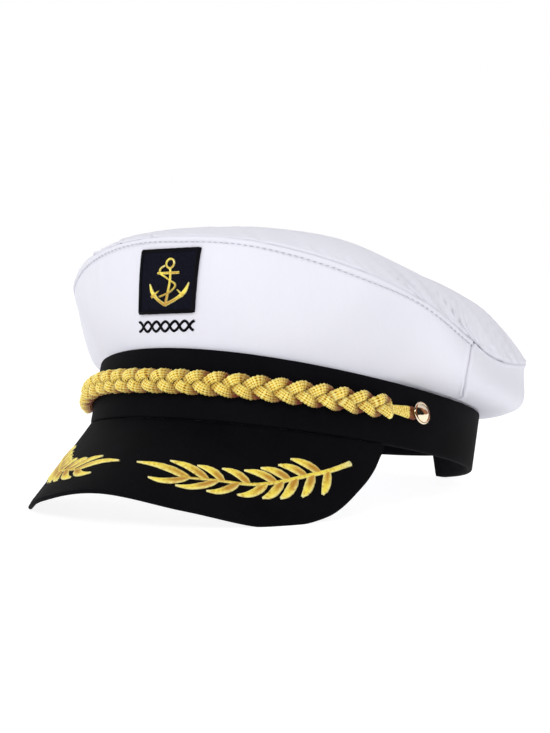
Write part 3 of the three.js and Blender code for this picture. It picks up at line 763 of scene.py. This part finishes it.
def make_stitches():
    """Walks along the hem and lays a thread at each stitch."""
    bm = bmesh.new()
    travelled, count = 0, 0
    before = None
    end = seam_angle(1) - 1
    angle = -end
    while angle < end:
        line = crown_line(angle)
        up = 1 - HEM_WIDTH / (3 * (line[3] - line[2]).length)
        here, normal, _, _ = front_skin.find_nearest(side_point(angle, up))
        if before is not None:
            travelled += (here - before).length
            if travelled >= STITCH_PITCH:
                travelled -= STITCH_PITCH
                along = (here - before).normalized()
                aside = normal.cross(along).normalized()
                turn = Matrix((along, aside, normal)).transposed().to_4x4()
                size = Matrix.Diagonal((STITCH_LENGTH / 2, THREAD_RADIUS, THREAD_RADIUS, 1))
                place = Matrix.Translation(here + normal * THREAD_RADIUS * 0.5) @ turn @ size
                bmesh.ops.create_uvsphere(bm, u_segments=6, v_segments=5, radius=1, matrix=place)
                count += 1
        before = here
        angle += WALK_STEP
    print("Stitches:", count)
    return bm


piece_from("crown_topstitches", make_stitches(), white_thread_painted_shade)

# %% [markdown]
# The band
#
# The band is black twill folded over a stiff strip. Its section is a thin upright loop with rounded folds
# at both edges. A spun ring would be rounder than a head, so the section is laid round the band's oval.

# %% The band
BAND_RADIUS = (HEAD_WIDTH + HEAD_LENGTH) / 4
BAND_WEAVE_RADIUS = 0.0926
BAND_ROW = 0.0019  # cloth between two rows, for the weave
BAND_COLUMNS = 480
FOLD_STEPS = 5
WALL_STEPS = 14


def band_section(angle, step):
    """A place round the band's section, as height and inset."""
    low, high = band_bottom(angle), band_top(angle)
    radius = BAND_WALL / 2
    total = 2 * (FOLD_STEPS + WALL_STEPS)
    step %= total
    if step < WALL_STEPS:
        return mix(low + radius, high - radius, step / WALL_STEPS), 0.0
    step -= WALL_STEPS
    if step < FOLD_STEPS:
        turn = pi * step / FOLD_STEPS
        return high - radius + radius * sin(turn), radius - radius * cos(turn)
    step -= FOLD_STEPS
    if step < WALL_STEPS:
        return mix(high - radius, low + radius, step / WALL_STEPS), BAND_WALL
    turn = pi * (step - WALL_STEPS) / FOLD_STEPS
    return low + radius - radius * sin(turn), radius + radius * cos(turn)


def settled(bm):
    """Presses what would reach below the table flat on it."""
    table_up = HAT_PLACE.inverted().to_3x3() @ UP
    for vert in bm.verts:
        vert.co -= min((HAT_PLACE @ vert.co).z, 0) * table_up
    return bm


def make_band():
    bm = bmesh.new()
    steps = 2 * (FOLD_STEPS + WALL_STEPS)

    def place(column, row):
        angle = 360 * column / BAND_COLUMNS
        height, inset = band_section(angle % 360, row)
        uv = (radians(angle) * BAND_WEAVE_RADIUS, row * BAND_ROW)
        return band_point(angle % 360, height, inset), uv, None

    sheet(bm, BAND_COLUMNS, steps, place)
    for vert in bm.verts:
        vert.co += noise.noise(vert.co / 0.02) * 0.0001 * Vector((vert.co.x, vert.co.y, 0)).normalized()
    return settled(closed(bm, WELD))


piece_from("band_twill", make_band(), black_twill, ["band"])

# %% [markdown]
# The peak
#
# The peak is a curved board covered in the same twill. It droops more at its sides than at its middle, so
# a flat crescent bent in one direction wouldn't do. Rows run from the band out to the edge, round it and
# back underneath.

# %% The peak as a surface
PEAK_REACH = 0.0579
PEAK_HALF_ANGLE = 63.3
PEAK_WALL = 0.002
PEAK_SECTIONS = named_rows(
    "across reach droop",
    (0, 1, 38),
    (0.25, 0.97, 45),
    (0.5, 0.88, 56),
    (0.7, 0.69, 60),
    (0.85, 0.41, 66),
    (0.95, 0.21, 77),
    (1, 0.06, 87),
)


@lru_cache(maxsize=4000)
def peak_line(across):
    angle = across * PEAK_HALF_ANGLE
    slope = radians(table_value(PEAK_SECTIONS, "across", "droop", abs(across)))
    reach = PEAK_REACH * table_value(PEAK_SECTIONS, "across", "reach", abs(across))
    outward = band_outward(angle)
    down = outward * cos(slope) - UP * sin(slope)
    normal = outward * sin(slope) + UP * cos(slope)
    return band_point(angle, 0) - GAP * UP, reach * down, normal


def peak_point(across, out, lift=0.0):
    """A point on the peak: across runs from -1 to 1, out from 0 at the band to 1 at the edge."""
    root, reach, normal = peak_line(across)
    return root + out * reach + lift * normal


# %% The peak
PEAK_HALF_RUN = 0.12  # cloth from the middle to a corner and between two rows, for the weave
PEAK_ROW = 0.0016
PEAK_COLUMNS = 200
PEAK_ROWS = 36
EDGE_STEPS = 8
PEAK_SPREAD = radians(162)


def make_peak():
    bm = bmesh.new()
    rows = 2 * PEAK_ROWS + EDGE_STEPS + 2

    def place(column, row):
        turn = (column / PEAK_COLUMNS - 0.5) * PEAK_SPREAD
        across = sin(turn) / sin(PEAK_SPREAD / 2)
        root, reach, normal = peak_line(across)
        radius = min(PEAK_WALL / 2, reach.length / 3)
        edge = 1 - radius / reach.length
        inner = band_point(across * PEAK_HALF_ANGLE, 0, BAND_WALL) - GAP * UP
        uv = (across * PEAK_HALF_RUN, row * PEAK_ROW)
        if row == 0 or row == rows:
            return inner, uv, None
        row -= 1
        if row <= PEAK_ROWS:
            return peak_point(across, edge * row / PEAK_ROWS), uv, None
        row -= PEAK_ROWS
        if row <= EDGE_STEPS:
            bend = pi * row / EDGE_STEPS
            middle = root + edge * reach - normal * PEAK_WALL / 2
            round_off = reach.normalized() * radius * sin(bend) + normal * PEAK_WALL / 2 * cos(bend)
            return middle + round_off, uv, None
        row -= EDGE_STEPS
        if row <= PEAK_ROWS:
            return peak_point(across, edge * (1 - row / PEAK_ROWS), -PEAK_WALL), uv, None
        return inner - UP * PEAK_WALL, uv, None

    sheet(bm, PEAK_COLUMNS, rows, place)
    for vert in bm.verts:
        vert.co += noise.noise(vert.co / 0.03) * 0.0002 * UP
    return settled(closed(bm, WELD))


piece_from("peak_twill", make_peak(), black_twill, ["peak"])

# %% [markdown]
# Satin stitch
#
# Embroidery is thread laid side by side across a shape. It stands up in the middle, where the stitches
# arch over a padding, and every thread is a fine ridge. Painting that on would look printed. So a stroke
# is a low arched ridge with the threads worked into it, and it carries where along and across it is, so
# that the colour can follow: a painted highlight at the tips and edges, painted shade in the lower middle.

# %% A stroke of satin stitch
FINE_WELD = 0.000002
THREAD_PITCH = 0.0006
THREAD_ROWS = 3  # rows of the grid for each thread
STROKE_COLUMNS = 8


def lay_stroke(bm, stops, place, rise, slant=0.6, ring=False, tone=0.0):
    """A ridge of satin stitch. Each stop holds u, v and half the width, and place gives the surface."""
    if ring:
        stops = [*stops, stops[0]]
    rows, travelled = [], 0.0
    for i, stop in enumerate(stops):
        if i:
            travelled += (place(*stop[:2], 0) - place(*stops[i - 1][:2], 0)).length
        rows.append({"at": travelled, "u": stop[0], "v": stop[1], "half": stop[2]})
    length = travelled
    steps = max(4, round(length / THREAD_PITCH * THREAD_ROWS))
    nearby = length / steps

    def value(column, at):
        return table_value(rows, "at", column, at)

    def point_at(at, lift=0):
        return place(value("u", at), value("v", at), lift)

    def within(at):
        return at % length if ring else clamp(at, 0, length)

    layers = bm.verts.layers.float
    along_layer, across_layer, tone_layer = (
        layers.get(name) or layers.new(name) for name in ("along", "across", "tone")
    )
    sections = []
    for i in range(steps + 1):
        at = length * i / steps
        point = point_at(at)
        normal = (point_at(at, MM) - point).normalized()
        forward = point_at(within(at + nearby)) - point_at(within(at - nearby))
        sections.append((at, point, normal, forward.cross(normal).normalized(), value("half", at)))
    columns = STROKE_COLUMNS + 1
    laid = grid(bm, columns, steps)
    for vert, column, row in laid:
        at, point, normal, aside, half = sections[row]
        across = 2 * (column % columns) / STROKE_COLUMNS - 1
        arch = sqrt(max(1 - across * across, 0))
        ridge = cos(tau * (at / THREAD_PITCH + slant * across))
        height = rise * arch * (1 + 0.2 * ridge)
        uneven = noise.noise(Vector((floor(at / THREAD_PITCH) * 0.37, half / MM, across)))
        ragged = 1 + 0.05 * ridge + 0.1 * uneven
        vert.co = point + aside * across * half * ragged + normal * height
        vert[along_layer] = at / length
        vert[across_layer] = across
        # tone sets how much painted shade the stroke gets at its root
        vert[tone_layer] = tone
    bmesh.ops.remove_doubles(bm, verts=[vert for vert, _, _ in laid], dist=FINE_WELD)
    return length


# %% Thread materials
def make_thread(name, main, pale, deep, roughness, metallic, **constants):
    """Silky thread: a painted highlight at the tips and edges of a stroke, painted shade in its lower middle.
    """
    material, tree, shader = new_material(name, roughness, metallic, **constants)
    along, across, tone = (attribute(tree, name) for name in ("along", "across", "tone"))
    speckle, patchy = speckles(tree, 750.0), speckles(tree, 160.0)
    edge = calc(tree, "POWER", calc(tree, "ABSOLUTE", across), 2.0)
    # tip and edge mask the painted highlight, root and middle the painted shade
    tip, root = remap(tree, along, 0.16, 0.0), remap(tree, along, 0.35, 0.85)
    middle = calc(tree, "SUBTRACT", 1.0, calc(tree, "ABSOLUTE", across))
    # painted shade towards the root, varied at random by patchy and each stroke's tone
    depth = calc(tree, "MULTIPLY", calc(tree, "MULTIPLY", root, middle), calc(tree, "ADD", patchy, tone))
    depth = clamped(tree, calc(tree, "MULTIPLY", depth, 2.4))
    colour = blend_colours(tree, depth, (*main, 1), (*deep, 1))
    # painted highlight at the tips and edges
    light = calc(tree, "MAXIMUM", tip, calc(tree, "MULTIPLY", edge, 0.7))
    colour = blend_colours(tree, clamped(tree, light), colour, (*pale, 1))
    dark = calc(tree, "MULTIPLY", calc(tree, "SUBTRACT", speckle, 0.5), 3.0)
    colour = blend_colours(tree, clamped(tree, dark), colour, (*deep, 1))
    tree.links.new(colour, shader.inputs["Base Color"])
    bump(tree, shader, speckle, 0.00004)
    return material


# pale is a painted highlight colour; deep is a painted shade colour, also used for random dark flecks
gold_thread = make_thread(
    "gold_thread", main=(1, 0.82, 0.08), pale=(1, 0.95, 0.48), deep=(0.55, 0.27, 0.01),
    roughness=0.45, metallic=0.1, Sheen_Weight=0.1,
)
black_thread = make_thread(
    "black_thread", main=(0.004, 0.004, 0.006), pale=(0.007, 0.007, 0.01), deep=(0.002, 0.002, 0.003),
    roughness=0.6, metallic=0.0, Specular_IOR_Level=0.06,
)

# %% [markdown]
# Laurel branches
#
# Each half of the peak carries a branch: a stem with eight leaves on either side. The leaves are strokes
# whose width swells and tapers. One leaf could be copied along the stem, but the real ones differ in length
# and bend, so a table holds where each tip and root is.

# %% The laurels
LAUREL_RISE = 0.00055
LEAF_HALF_WIDTH = 0.0021
LEAF_BEND = 0.035
RIGHT_SHIFT = 0.02  # the wearer's right branch lies this much nearer the middle
LAUREL_STEM = named_rows(
    "across out half",
    (0.2, 0.68, 0.0005),
    (0.32, 0.636, 0.0007),
    (0.42, 0.61, 0.0008),
    (0.53, 0.55, 0.0009),
    (0.64, 0.49, 0.001),
    (0.82, 0.436, 0.0013),
)
UPPER_LEAVES = named_rows(
    "tip_across tip_out root_across root_out",
    (0.043, 0.6, 0.225, 0.67),
    (0.144, 0.522, 0.28, 0.645),
    (0.236, 0.521, 0.33, 0.63),
    (0.319, 0.505, 0.415, 0.606),
    (0.394, 0.48, 0.51, 0.56),
    (0.452, 0.43, 0.56, 0.53),
    (0.517, 0.38, 0.625, 0.5),
    (0.565, 0.31, 0.68, 0.47),
)
LOWER_LEAVES = named_rows(
    "tip_across tip_out root_across root_out",
    (0.111, 0.755, 0.222, 0.67),
    (0.197, 0.779, 0.311, 0.64),
    (0.289, 0.769, 0.378, 0.622),
    (0.382, 0.74, 0.474, 0.584),
    (0.464, 0.731, 0.532, 0.55),
    (0.526, 0.726, 0.585, 0.52),
    (0.603, 0.724, 0.65, 0.486),
    (0.681, 0.741, 0.715, 0.468),
)
LEAF_OUTLINE = named_rows(
    "along wide",
    (0, 0.2),
    (0.1, 0.4),
    (0.35, 0.8),
    (0.62, 1.04),
    (0.85, 0.95),
    (1, 0.6),
)


def make_laurel(side):
    """A branch: sixteen leaves first, then the stem over their roots."""
    bm = bmesh.new()

    def on_peak(across, out, lift):
        return peak_point(side * across + (RIGHT_SHIFT if side < 0 else 0), out, lift - 0.00005)

    for leaves, bend in ((UPPER_LEAVES, -1), (LOWER_LEAVES, 1)):
        for number, leaf in enumerate(leaves):
            stops = []
            for row in LEAF_OUTLINE:
                across = mix(leaf["tip_across"], leaf["root_across"], row["along"])
                out = mix(leaf["tip_out"], leaf["root_out"], row["along"])
                out += LEAF_BEND * sin(pi * row["along"]) * bend
                stops.append((across, out, LEAF_HALF_WIDTH * row["wide"]))
            # how much painted shade this leaf gets at its root, differing at random
            tone = 0.25 + 0.5 * noise.noise(Vector((number, bend, 0.5)))
            lay_stroke(bm, stops, on_peak, LAUREL_RISE, slant=0.9, tone=tone)
    stem = [(row["across"], row["out"], row["half"]) for row in reversed(LAUREL_STEM)]
    # the stem gets less painted shade
    lay_stroke(bm, stem, on_peak, LAUREL_RISE * 1.2, slant=1.2, tone=-0.2)
    return closed(bm)


for name, side in (("laurel_left", 1), ("laurel_right", -1)):
    piece_from(name + "_embroidery", make_laurel(side), gold_thread, [name])

# %% [markdown]
# The patch, the anchor and the rope line
#
# The patch is a square of navy twill with a black satin border, sewn on the front of the crown. The anchor
# is embroidered on it, and a stitched line of two crossing waves runs under it. All of them bend with the
# cloth, so each point is dropped on the finished crown along the patch's own direction.

# %% A way to sew things on the crown
PATCH_SIDE = 0.0275
PATCH_WALL = 0.0009
PATCH_UP = 0.58  # share of the crown's front that lies below its middle
PATCH_ASIDE = -0.0074  # it is sewn on towards the wearer's right
PATCH_LEAN = 0.09
PATCH_TURN = 0.05
PATCH_STRETCH = 1.1  # a little wider than tall, and most at its top
PATCH_FLARE = 1.6
DROP = 0.02  # a point is dropped on the cloth from this far in front of it


def front_curve_point(share):
    """A point at a share of the cloth's length up the front of the crown."""
    points = [side_point(0, i / 60) for i in range(61)]
    lengths = [(b - a).length for a, b in zip(points, points[1:])]
    left = share * sum(lengths)
    for point, following, length in zip(points, points[1:], lengths):
        if left <= length:
            return point.lerp(following, left / length), (following - point).normalized()
        left -= length
    return points[-1], (points[-1] - points[-2]).normalized()


patch_middle, patch_upwards = front_curve_point(PATCH_UP)
patch_outwards = patch_upwards.cross(Vector((-1, 0, 0))).normalized()


def on_crown(u, v, lift):
    """A point over the crown's cloth, u sideways and v up from the middle of the patch."""
    aside = Vector((u * (PATCH_STRETCH + PATCH_FLARE * v) + PATCH_ASIDE + PATCH_LEAN * v, 0, 0))
    over = patch_middle + aside + (v + PATCH_TURN * u) * patch_upwards + DROP * patch_outwards
    hit, normal, _, _ = front_skin.ray_cast(over, -patch_outwards)
    return hit + normal * lift


def on_patch(u, v, lift):
    return on_crown(u, v, lift + PATCH_WALL + 0.0001)


# %% The patch
PATCH_STEPS = 60


def make_patch():
    bm = bmesh.new()

    def place(column, row):
        u = (column / PATCH_STEPS - 0.5) * PATCH_SIDE
        v = (row / PATCH_STEPS - 0.5) * PATCH_SIDE
        return on_crown(u, v, PATCH_WALL), (u, v), None

    sheet(bm, PATCH_STEPS, PATCH_STEPS, place)
    bmesh.ops.solidify(bm, geom=bm.faces[:], thickness=PATCH_WALL)
    return bm


piece_from("patch_twill", make_patch(), navy_cloth, ["patch"])
BORDER_HALF = 0.0008


def make_border():
    """Satin stitch over the patch's four raw edges."""
    bm = bmesh.new()
    reach = PATCH_SIDE / 2 - BORDER_HALF * 0.7
    corners = [(-reach, -reach), (reach, -reach), (reach, reach), (-reach, reach)]
    for (u0, v0), (u1, v1) in zip(corners, corners[1:] + corners[:1]):
        stops = [(mix(u0, u1, k / 6), mix(v0, v1, k / 6), BORDER_HALF) for k in range(7)]
        lay_stroke(bm, stops, on_patch, 0.0004, slant=0.2)
    return closed(bm)


piece_from("patch_border", make_border(), black_thread)

# %% The anchor
# Shares of the patch's side, from its middle. The third number of a stop is half the stroke's width.
ANCHOR_RING = {"centre": (0.095, 0.235), "radius": 0.065, "half": 0.022}
ANCHOR_LINES = [
    [(0.1, 0.175, 0.026), (0.115, 0, 0.026), (0.06, -0.34, 0.03)],
    [(-0.106, 0.1, 0.028), (0.265, 0.1, 0.028)],
    [(-0.234, -0.05, 0.012), (-0.19, -0.17, 0.045), (-0.08, -0.28, 0.036), (0.048, -0.36, 0.036)],
    [(0.44, -0.045, 0.012), (0.38, -0.17, 0.045), (0.25, -0.27, 0.036), (0.048, -0.36, 0.036)],
    [(-0.07, -0.15, 0.01), (-0.2, -0.24, 0.034)],
    [(0.25, -0.144, 0.01), (0.36, -0.24, 0.034)],
]
ANCHOR_ROPE = [
    (0.02, 0.21), (-0.06, 0.165), (-0.06, 0.1), (0.03, 0.045), (0.12, -0.011), (0.205, -0.06),
    (0.21, -0.1), (0.13, -0.17), (0.03, -0.21), (-0.05, -0.236),
]
ANCHOR_ROPE_HALF = 0.019
ANCHOR_ASIDE = -0.05
ANCHOR_UP = 0.02
ANCHOR_TALL = 1.08
ANCHOR_THIN = 0.8


def scaled(stop):
    """A stop of the anchor in metres."""
    u, v, half = stop
    stop = u + ANCHOR_ASIDE, v * ANCHOR_TALL + ANCHOR_UP, half * ANCHOR_THIN
    return tuple(PATCH_SIDE * value for value in stop)


def make_anchor():
    bm = bmesh.new()
    ring = []
    for i in range(16):
        turn = tau * i / 16
        u = ANCHOR_RING["centre"][0] + ANCHOR_RING["radius"] * cos(turn)
        v = ANCHOR_RING["centre"][1] + ANCHOR_RING["radius"] * sin(turn)
        ring.append(scaled((u, v, ANCHOR_RING["half"])))
    lay_stroke(bm, ring, on_patch, 0.0006, ring=True)
    for line in ANCHOR_LINES:
        lay_stroke(bm, [scaled(stop) for stop in line], on_patch, 0.0006)
    rope = [scaled((u, v, ANCHOR_ROPE_HALF)) for u, v in ANCHOR_ROPE]
    lay_stroke(bm, rope, on_patch, 0.0008)
    return closed(bm)


piece_from("anchor_embroidery", make_anchor(), gold_thread, ["anchor"])

# %% The rope line
ROPE_LENGTH = 0.028
ROPE_DROP = 0.0056
ROPE_HALF_HEIGHT = 0.0021
ROPE_STROKE = 0.00062
ROPE_WAVES = 3
ROPE_STEPS = 24


def make_rope_line():
    """Two waves of satin stitch that cross like the strands of a rope."""
    bm = bmesh.new()
    for side in (1, -1):
        stops = []
        for i in range(ROPE_STEPS + 1):
            u = ROPE_LENGTH * (i / ROPE_STEPS - 0.5)
            wave = side * ROPE_HALF_HEIGHT * cos(tau * ROPE_WAVES * i / ROPE_STEPS)
            stops.append((u, -PATCH_SIDE / 2 - ROPE_DROP + wave, ROPE_STROKE))
        lay_stroke(bm, stops, on_crown, 0.0005 + 0.0001 * side)
    return closed(bm)


piece_from("rope_line_embroidery", make_rope_line(), black_thread, ["rope_line"])

# %% [markdown]
# The plaited cord
#
# Three gold cords are plaited flat, and each is itself covered in a fine braid of metallic thread. Curves
# with a round bevel would give smooth tubes. Here each cord is a grid wrapped round its path, with the
# fine braid worked in as small lozenges, because those dark pits are what makes it look like metal thread.
# Their colour adds painted shade in the pits and a painted highlight on the raised threads.

# %% The plait's path
PLAIT_SWING = 0.0032
PLAIT_DEPTH = 0.0019
PLAIT_PITCH = 0.027
LOBE_LEAN = 0.04  # the lobes stand taller above and lie flatter below
CORD_HALF_WIDTH = 0.002
CORD_HALF_THICKNESS = 0.0013
SHANK_RADIUS = 0.0016
LANE_LENGTH = 0.013
SHANK_ROOM = 0.001
CORD_REACH = radians(BUTTON_ANGLE) * BAND_RADIUS - SHANK_RADIUS - SHANK_ROOM
CROSSING = PLAIT_PITCH / 6
PLAIT_END = floor((CORD_REACH - LANE_LENGTH) / CROSSING) * CROSSING
DARK_END_START = 0.0122  # the cords are coloured dark red-brown from this far past the plait up to the button
# Past the plait the cords are drawn together and fan out again towards the button
CORD_FAN = named_rows(
    "past half swing",
    (0, 1, 1),
    (0.003, 0.5, 0.36),
    (0.006, 0.48, 0.36),
    (0.012, 0.52, 0.56),
    (0.0155, 0.54, 0.62),
)


def cord_at(number, s):
    """A cord's middle at a distance from the front, its half width and thickness, its angle, and its share of
    painted shade where it dips under another, which is full at its dark end.
    """
    plaited = clamp(s, -PLAIT_END, PLAIT_END)
    past = abs(s) - abs(plaited)
    phase = tau * plaited / PLAIT_PITCH + tau * number / 3
    swing = PLAIT_SWING * table_value(CORD_FAN, "past", "swing", past)
    swing *= sin(phase) - LOBE_LEAN * cos(2 * phase)
    half = CORD_HALF_WIDTH * table_value(CORD_FAN, "past", "half", past)
    thick = CORD_HALF_THICKNESS * mix(1, 0.75, smooth_step(past, 0, 0.004))
    depth = PLAIT_DEPTH * (1 + sin(2 * phase)) * (1 - 0.8 * smooth_step(past, 0, 0.004))
    angle = degrees(s / BAND_RADIUS)
    # painted shade where the cord dips under another
    painted_dip_shade_and_dark_end = (1 - depth / (2 * PLAIT_DEPTH)) * (1 - smooth_step(past, 0, 0.003))
    # dark red-brown colour from here up to the button
    painted_dip_shade_and_dark_end += smooth_step(past, DARK_END_START, DARK_END_START + 0.0006)
    return band_point(angle, cord_middle(angle) + swing, -(GAP + thick + depth)), half, thick, angle, painted_dip_shade_and_dark_end


# %% The cords
CORD_SIDES = 48
CORD_STEP = 0.00036
BRAID_TURNS = 5
BRAID_PITCH = 0.0022
BRAID_RELIEF = 0.2


def make_cord(number):
    """A grid wrapped round the path. The fine braid is a swelling in lozenges, a little uneven."""
    bm = bmesh.new()
    raised = bm.verts.layers.float.new("raised")
    low = bm.verts.layers.float.new("painted_dip_shade_and_dark_end")
    steps = round(2 * CORD_REACH / CORD_STEP)
    sections = [cord_at(number, mix(-CORD_REACH, CORD_REACH, i / steps)) for i in range(steps + 1)]
    for vert, column, row in grid(bm, CORD_SIDES, steps):
        centre, half, thick, angle, painted_dip_shade_and_dark_end = sections[row]
        forward = sections[min(row + 1, steps)][0] - sections[max(row - 1, 0)][0]
        outward = band_outward(angle)
        aside = forward.cross(outward).normalized()
        turn = tau * (column % CORD_SIDES) / CORD_SIDES
        run = tau * row * CORD_STEP / BRAID_PITCH + 3.0 * noise.noise(centre / 0.003)
        lozenge = cos(BRAID_TURNS * turn + run) * cos(BRAID_TURNS * turn - run)
        swell = 1 + BRAID_RELIEF * lozenge
        vert.co = centre + aside * half * swell * cos(turn) + outward * thick * swell * sin(turn)
        vert[raised] = 0.5 + 0.5 * lozenge
        vert[low] = painted_dip_shade_and_dark_end
    return closed(bm, FINE_WELD)


def make_cord_material():
    """Pale gold as a painted highlight on the raised threads, amber between them and painted shade in the
    pits; red-brown painted shade where a cord dips under another, and the same red-brown at the end beside
    the button.
    """
    material, tree, shader = new_material("gold_cord", 0.42, 0.2, Sheen_Weight=0.1)
    raised, painted_dip_shade_and_dark_end = attribute(tree, "raised"), attribute(tree, "painted_dip_shade_and_dark_end")
    speckle, patchy = speckles(tree, 1100.0), speckles(tree, 190.0, 1.0)
    high = calc(tree, "ADD", calc(tree, "MULTIPLY", raised, 0.6), calc(tree, "MULTIPLY", speckle, 0.5))
    # the ramp paints shade into the pits and a highlight on the raised threads
    ramp = add(tree, "ValToRGB", {0: high})
    stops = ramp.color_ramp.elements
    stops[0].position, stops[0].color = 0.3, (0.2, 0.05, 0.004, 1)
    stops[1].position, stops[1].color = 0.75, (1, 0.95, 0.34, 1)
    middle = stops.new(0.46)
    middle.color = (0.92, 0.6, 0.03, 1)
    # painted shade where the cords dip, and their dark end
    deep = calc(tree, "MULTIPLY", calc(tree, "POWER", painted_dip_shade_and_dark_end, 1.3), calc(tree, "ADD", patchy, 0.5))
    colour = blend_colours(tree, clamped(tree, deep), ramp.outputs[0], (0.2, 0.035, 0.006, 1))
    tree.links.new(colour, shader.inputs["Base Color"])
    bump(tree, shader, high, 0.00012)
    return material


gold_cord = make_cord_material()
for number in range(3):
    node = "cord_strand_%d" % (number + 1)
    piece_from(node + "_braid", make_cord(number), gold_cord, [node])

# %% [markdown]
# The buttons
#
# A gilt button is pressed from sheet brass: a dome with a rim rolled over a back plate. Its profile is a
# few points, rounded and spun round the shank.

# %% The buttons
# Radius and height above the seat, from the middle of the back round the rim to the middle of the dome
BUTTON_PROFILE = [
    (0, 0.0003), (0.0016, 0.0003), (0.0016, 0.0024), (0.0042, 0.0025), (0.0047, 0.0026), (0.005, 0.0029),
    (0.00505, 0.0032), (0.0049, 0.00355), (0.00462, 0.0037), (0.00435, 0.00365), (0.00415, 0.0035),
    (0.0039, 0.0036), (0.0034, 0.0042), (0.0025, 0.00485), (0.0013, 0.0053), (0, 0.00545),
]
BUTTON_STEPS = 64
BUTTON_SEAT = 0.0004  # the shank lifts it off the band
BUTTON_LEAN = radians(13)  # the cord under it turns its face up a little


def make_button(side):
    bm = bmesh.new()
    verts = [bm.verts.new((r, 0, z)) for r, z in BUTTON_PROFILE]
    edges = [bm.edges.new(pair) for pair in zip(verts, verts[1:])]
    bmesh.ops.spin(bm, geom=verts + edges, cent=(0, 0, 0), axis=(0, 0, 1), dvec=(0, 0, 0),
                   angle=tau, steps=BUTTON_STEPS, use_merge=True)
    closed(bm, WELD / 2)
    angle = side * BUTTON_ANGLE
    facing = (band_outward(angle) + UP * sin(BUTTON_LEAN)).normalized()
    seat = band_point(angle, cord_middle(angle), -BUTTON_SEAT)
    place = Matrix.Translation(seat) @ facing.to_track_quat("Z", "Y").to_matrix().to_4x4()
    bmesh.ops.transform(bm, matrix=place, verts=bm.verts[:])
    return bm


def make_gilt():
    """Polished gilt, with a faint wear in its colour and gloss."""
    material, tree, shader = new_material("gilt", 0.12, 1.0)
    wear = speckles(tree, 700.0, 4.0)
    colour = blend_colours(tree, wear, (0.96, 0.86, 0.68, 1), (0.9, 0.76, 0.52, 1))
    tree.links.new(colour, shader.inputs["Base Color"])
    tree.links.new(remap(tree, wear, 0.3, 0.7, 0.07, 0.18), shader.inputs["Roughness"])
    bump(tree, shader, wear, 0.00001)
    return material


gilt = make_gilt()
for name, side in (("button_left", 1), ("button_right", -1)):
    piece = piece_from(name + "_gilt", make_button(side), gilt, [name])
    modifier = piece.modifiers.new("rounding", "SUBSURF")
    modifier.levels = 1
    modifier.render_levels = 1

# %% [markdown]
# The table and the light
#
# A product photo of a white hat is taken in a white tent: light comes from all sides, the table glows, and
# one soft lamp in front gives the folds their shade. Lamps all round could do the same with more noise. So
# the surroundings are white for the cloth, and only one lamp stands above the camera. A polished button
# would look flat in pure white. It mirrors a dark room with a copper-brown wall instead, as a real one
# mirrors the room behind the lamp.

# %% The table
def make_table():
    bm = bmesh.new()
    bmesh.ops.create_grid(bm, x_segments=1, y_segments=1, size=6)
    mesh = bpy.data.meshes.new("table")
    bm.to_mesh(mesh)
    bm.free()
    table = bpy.data.objects.new("table", mesh)
    bpy.context.collection.objects.link(table)
    material, tree, shader = new_material("pale_table", 0.9, Emission_Strength=0.88)
    colour = blend_colours(tree, speckles(tree, 40.0), (0.28, 0.28, 0.28, 1), (0.26, 0.26, 0.26, 1))
    tree.links.new(colour, shader.inputs["Base Color"])
    shader.inputs["Emission Color"].default_value = (1, 1, 1, 1)
    mesh.materials.append(material)


make_table()


# %% The light
def add_light(name, place, target, size, power):
    data = bpy.data.lights.new(name, "AREA")
    data.shape = "DISK"
    data.size = size
    data.energy = power
    light = bpy.data.objects.new(name, data)
    bpy.context.collection.objects.link(light)
    aim = (Vector(target) - Vector(place)).to_track_quat("-Z", "Y")
    light.matrix_world = Matrix.Translation(place) @ aim.to_matrix().to_4x4()


add_light("key", (0.2, -1.7, 1.2), (0, 0, 0.06), 0.7, 11)

# %% The surroundings
SOFT_FILL = 0.8  # how bright the surroundings are for cloth


def towards(turn, rise):
    """A direction, turned from straight ahead of the hat to the wearer's left, and raised."""
    turn, rise = radians(turn), radians(rise)
    return (sin(turn) * cos(rise), -cos(turn) * cos(rise), sin(rise))


def make_surroundings():
    """White all round for the cloth. Polished metal mirrors a dark room with a copper-brown wall."""
    world = bpy.data.worlds.new("surroundings")
    world.use_nodes = True
    tree = world.node_tree
    look = add(tree, "TexCoord").outputs["Generated"]
    colour = (1, 1, 1, 1)
    for turn, rise, wide, soft, paint in (
        (45, 42, 64, 8, (0.012, 0.011, 0.012, 1)),
        (158, 30, 48, 10, (0.33, 0.15, 0.09, 1)),
        (138, 42, 8, 7, (0.95, 0.66, 0.58, 1)),
    ):
        toward = add(tree, "VectorMath", {0: look, 1: towards(turn, rise)}, operation="DOT_PRODUCT")
        share = remap(tree, toward.outputs["Value"], cos(radians(wide + soft)), cos(radians(wide)))
        colour = blend_colours(tree, share, colour, paint)
    path = add(tree, "LightPath").outputs
    colour = blend_colours(tree, path["Is Glossy Ray"], (SOFT_FILL, SOFT_FILL, SOFT_FILL, 1), colour)
    colour = blend_colours(tree, path["Is Camera Ray"], colour, (1, 1, 1, 1))
    tree.links.new(colour, tree.nodes["Background"].inputs["Color"])
    tree.nodes["Background"].inputs["Strength"].default_value = 1.0
    return world


bpy.context.scene.world = make_surroundings()
print("Lit by one lamp and", bpy.context.scene.world.name)
bpy.context.scene.view_settings.view_transform = "Standard"
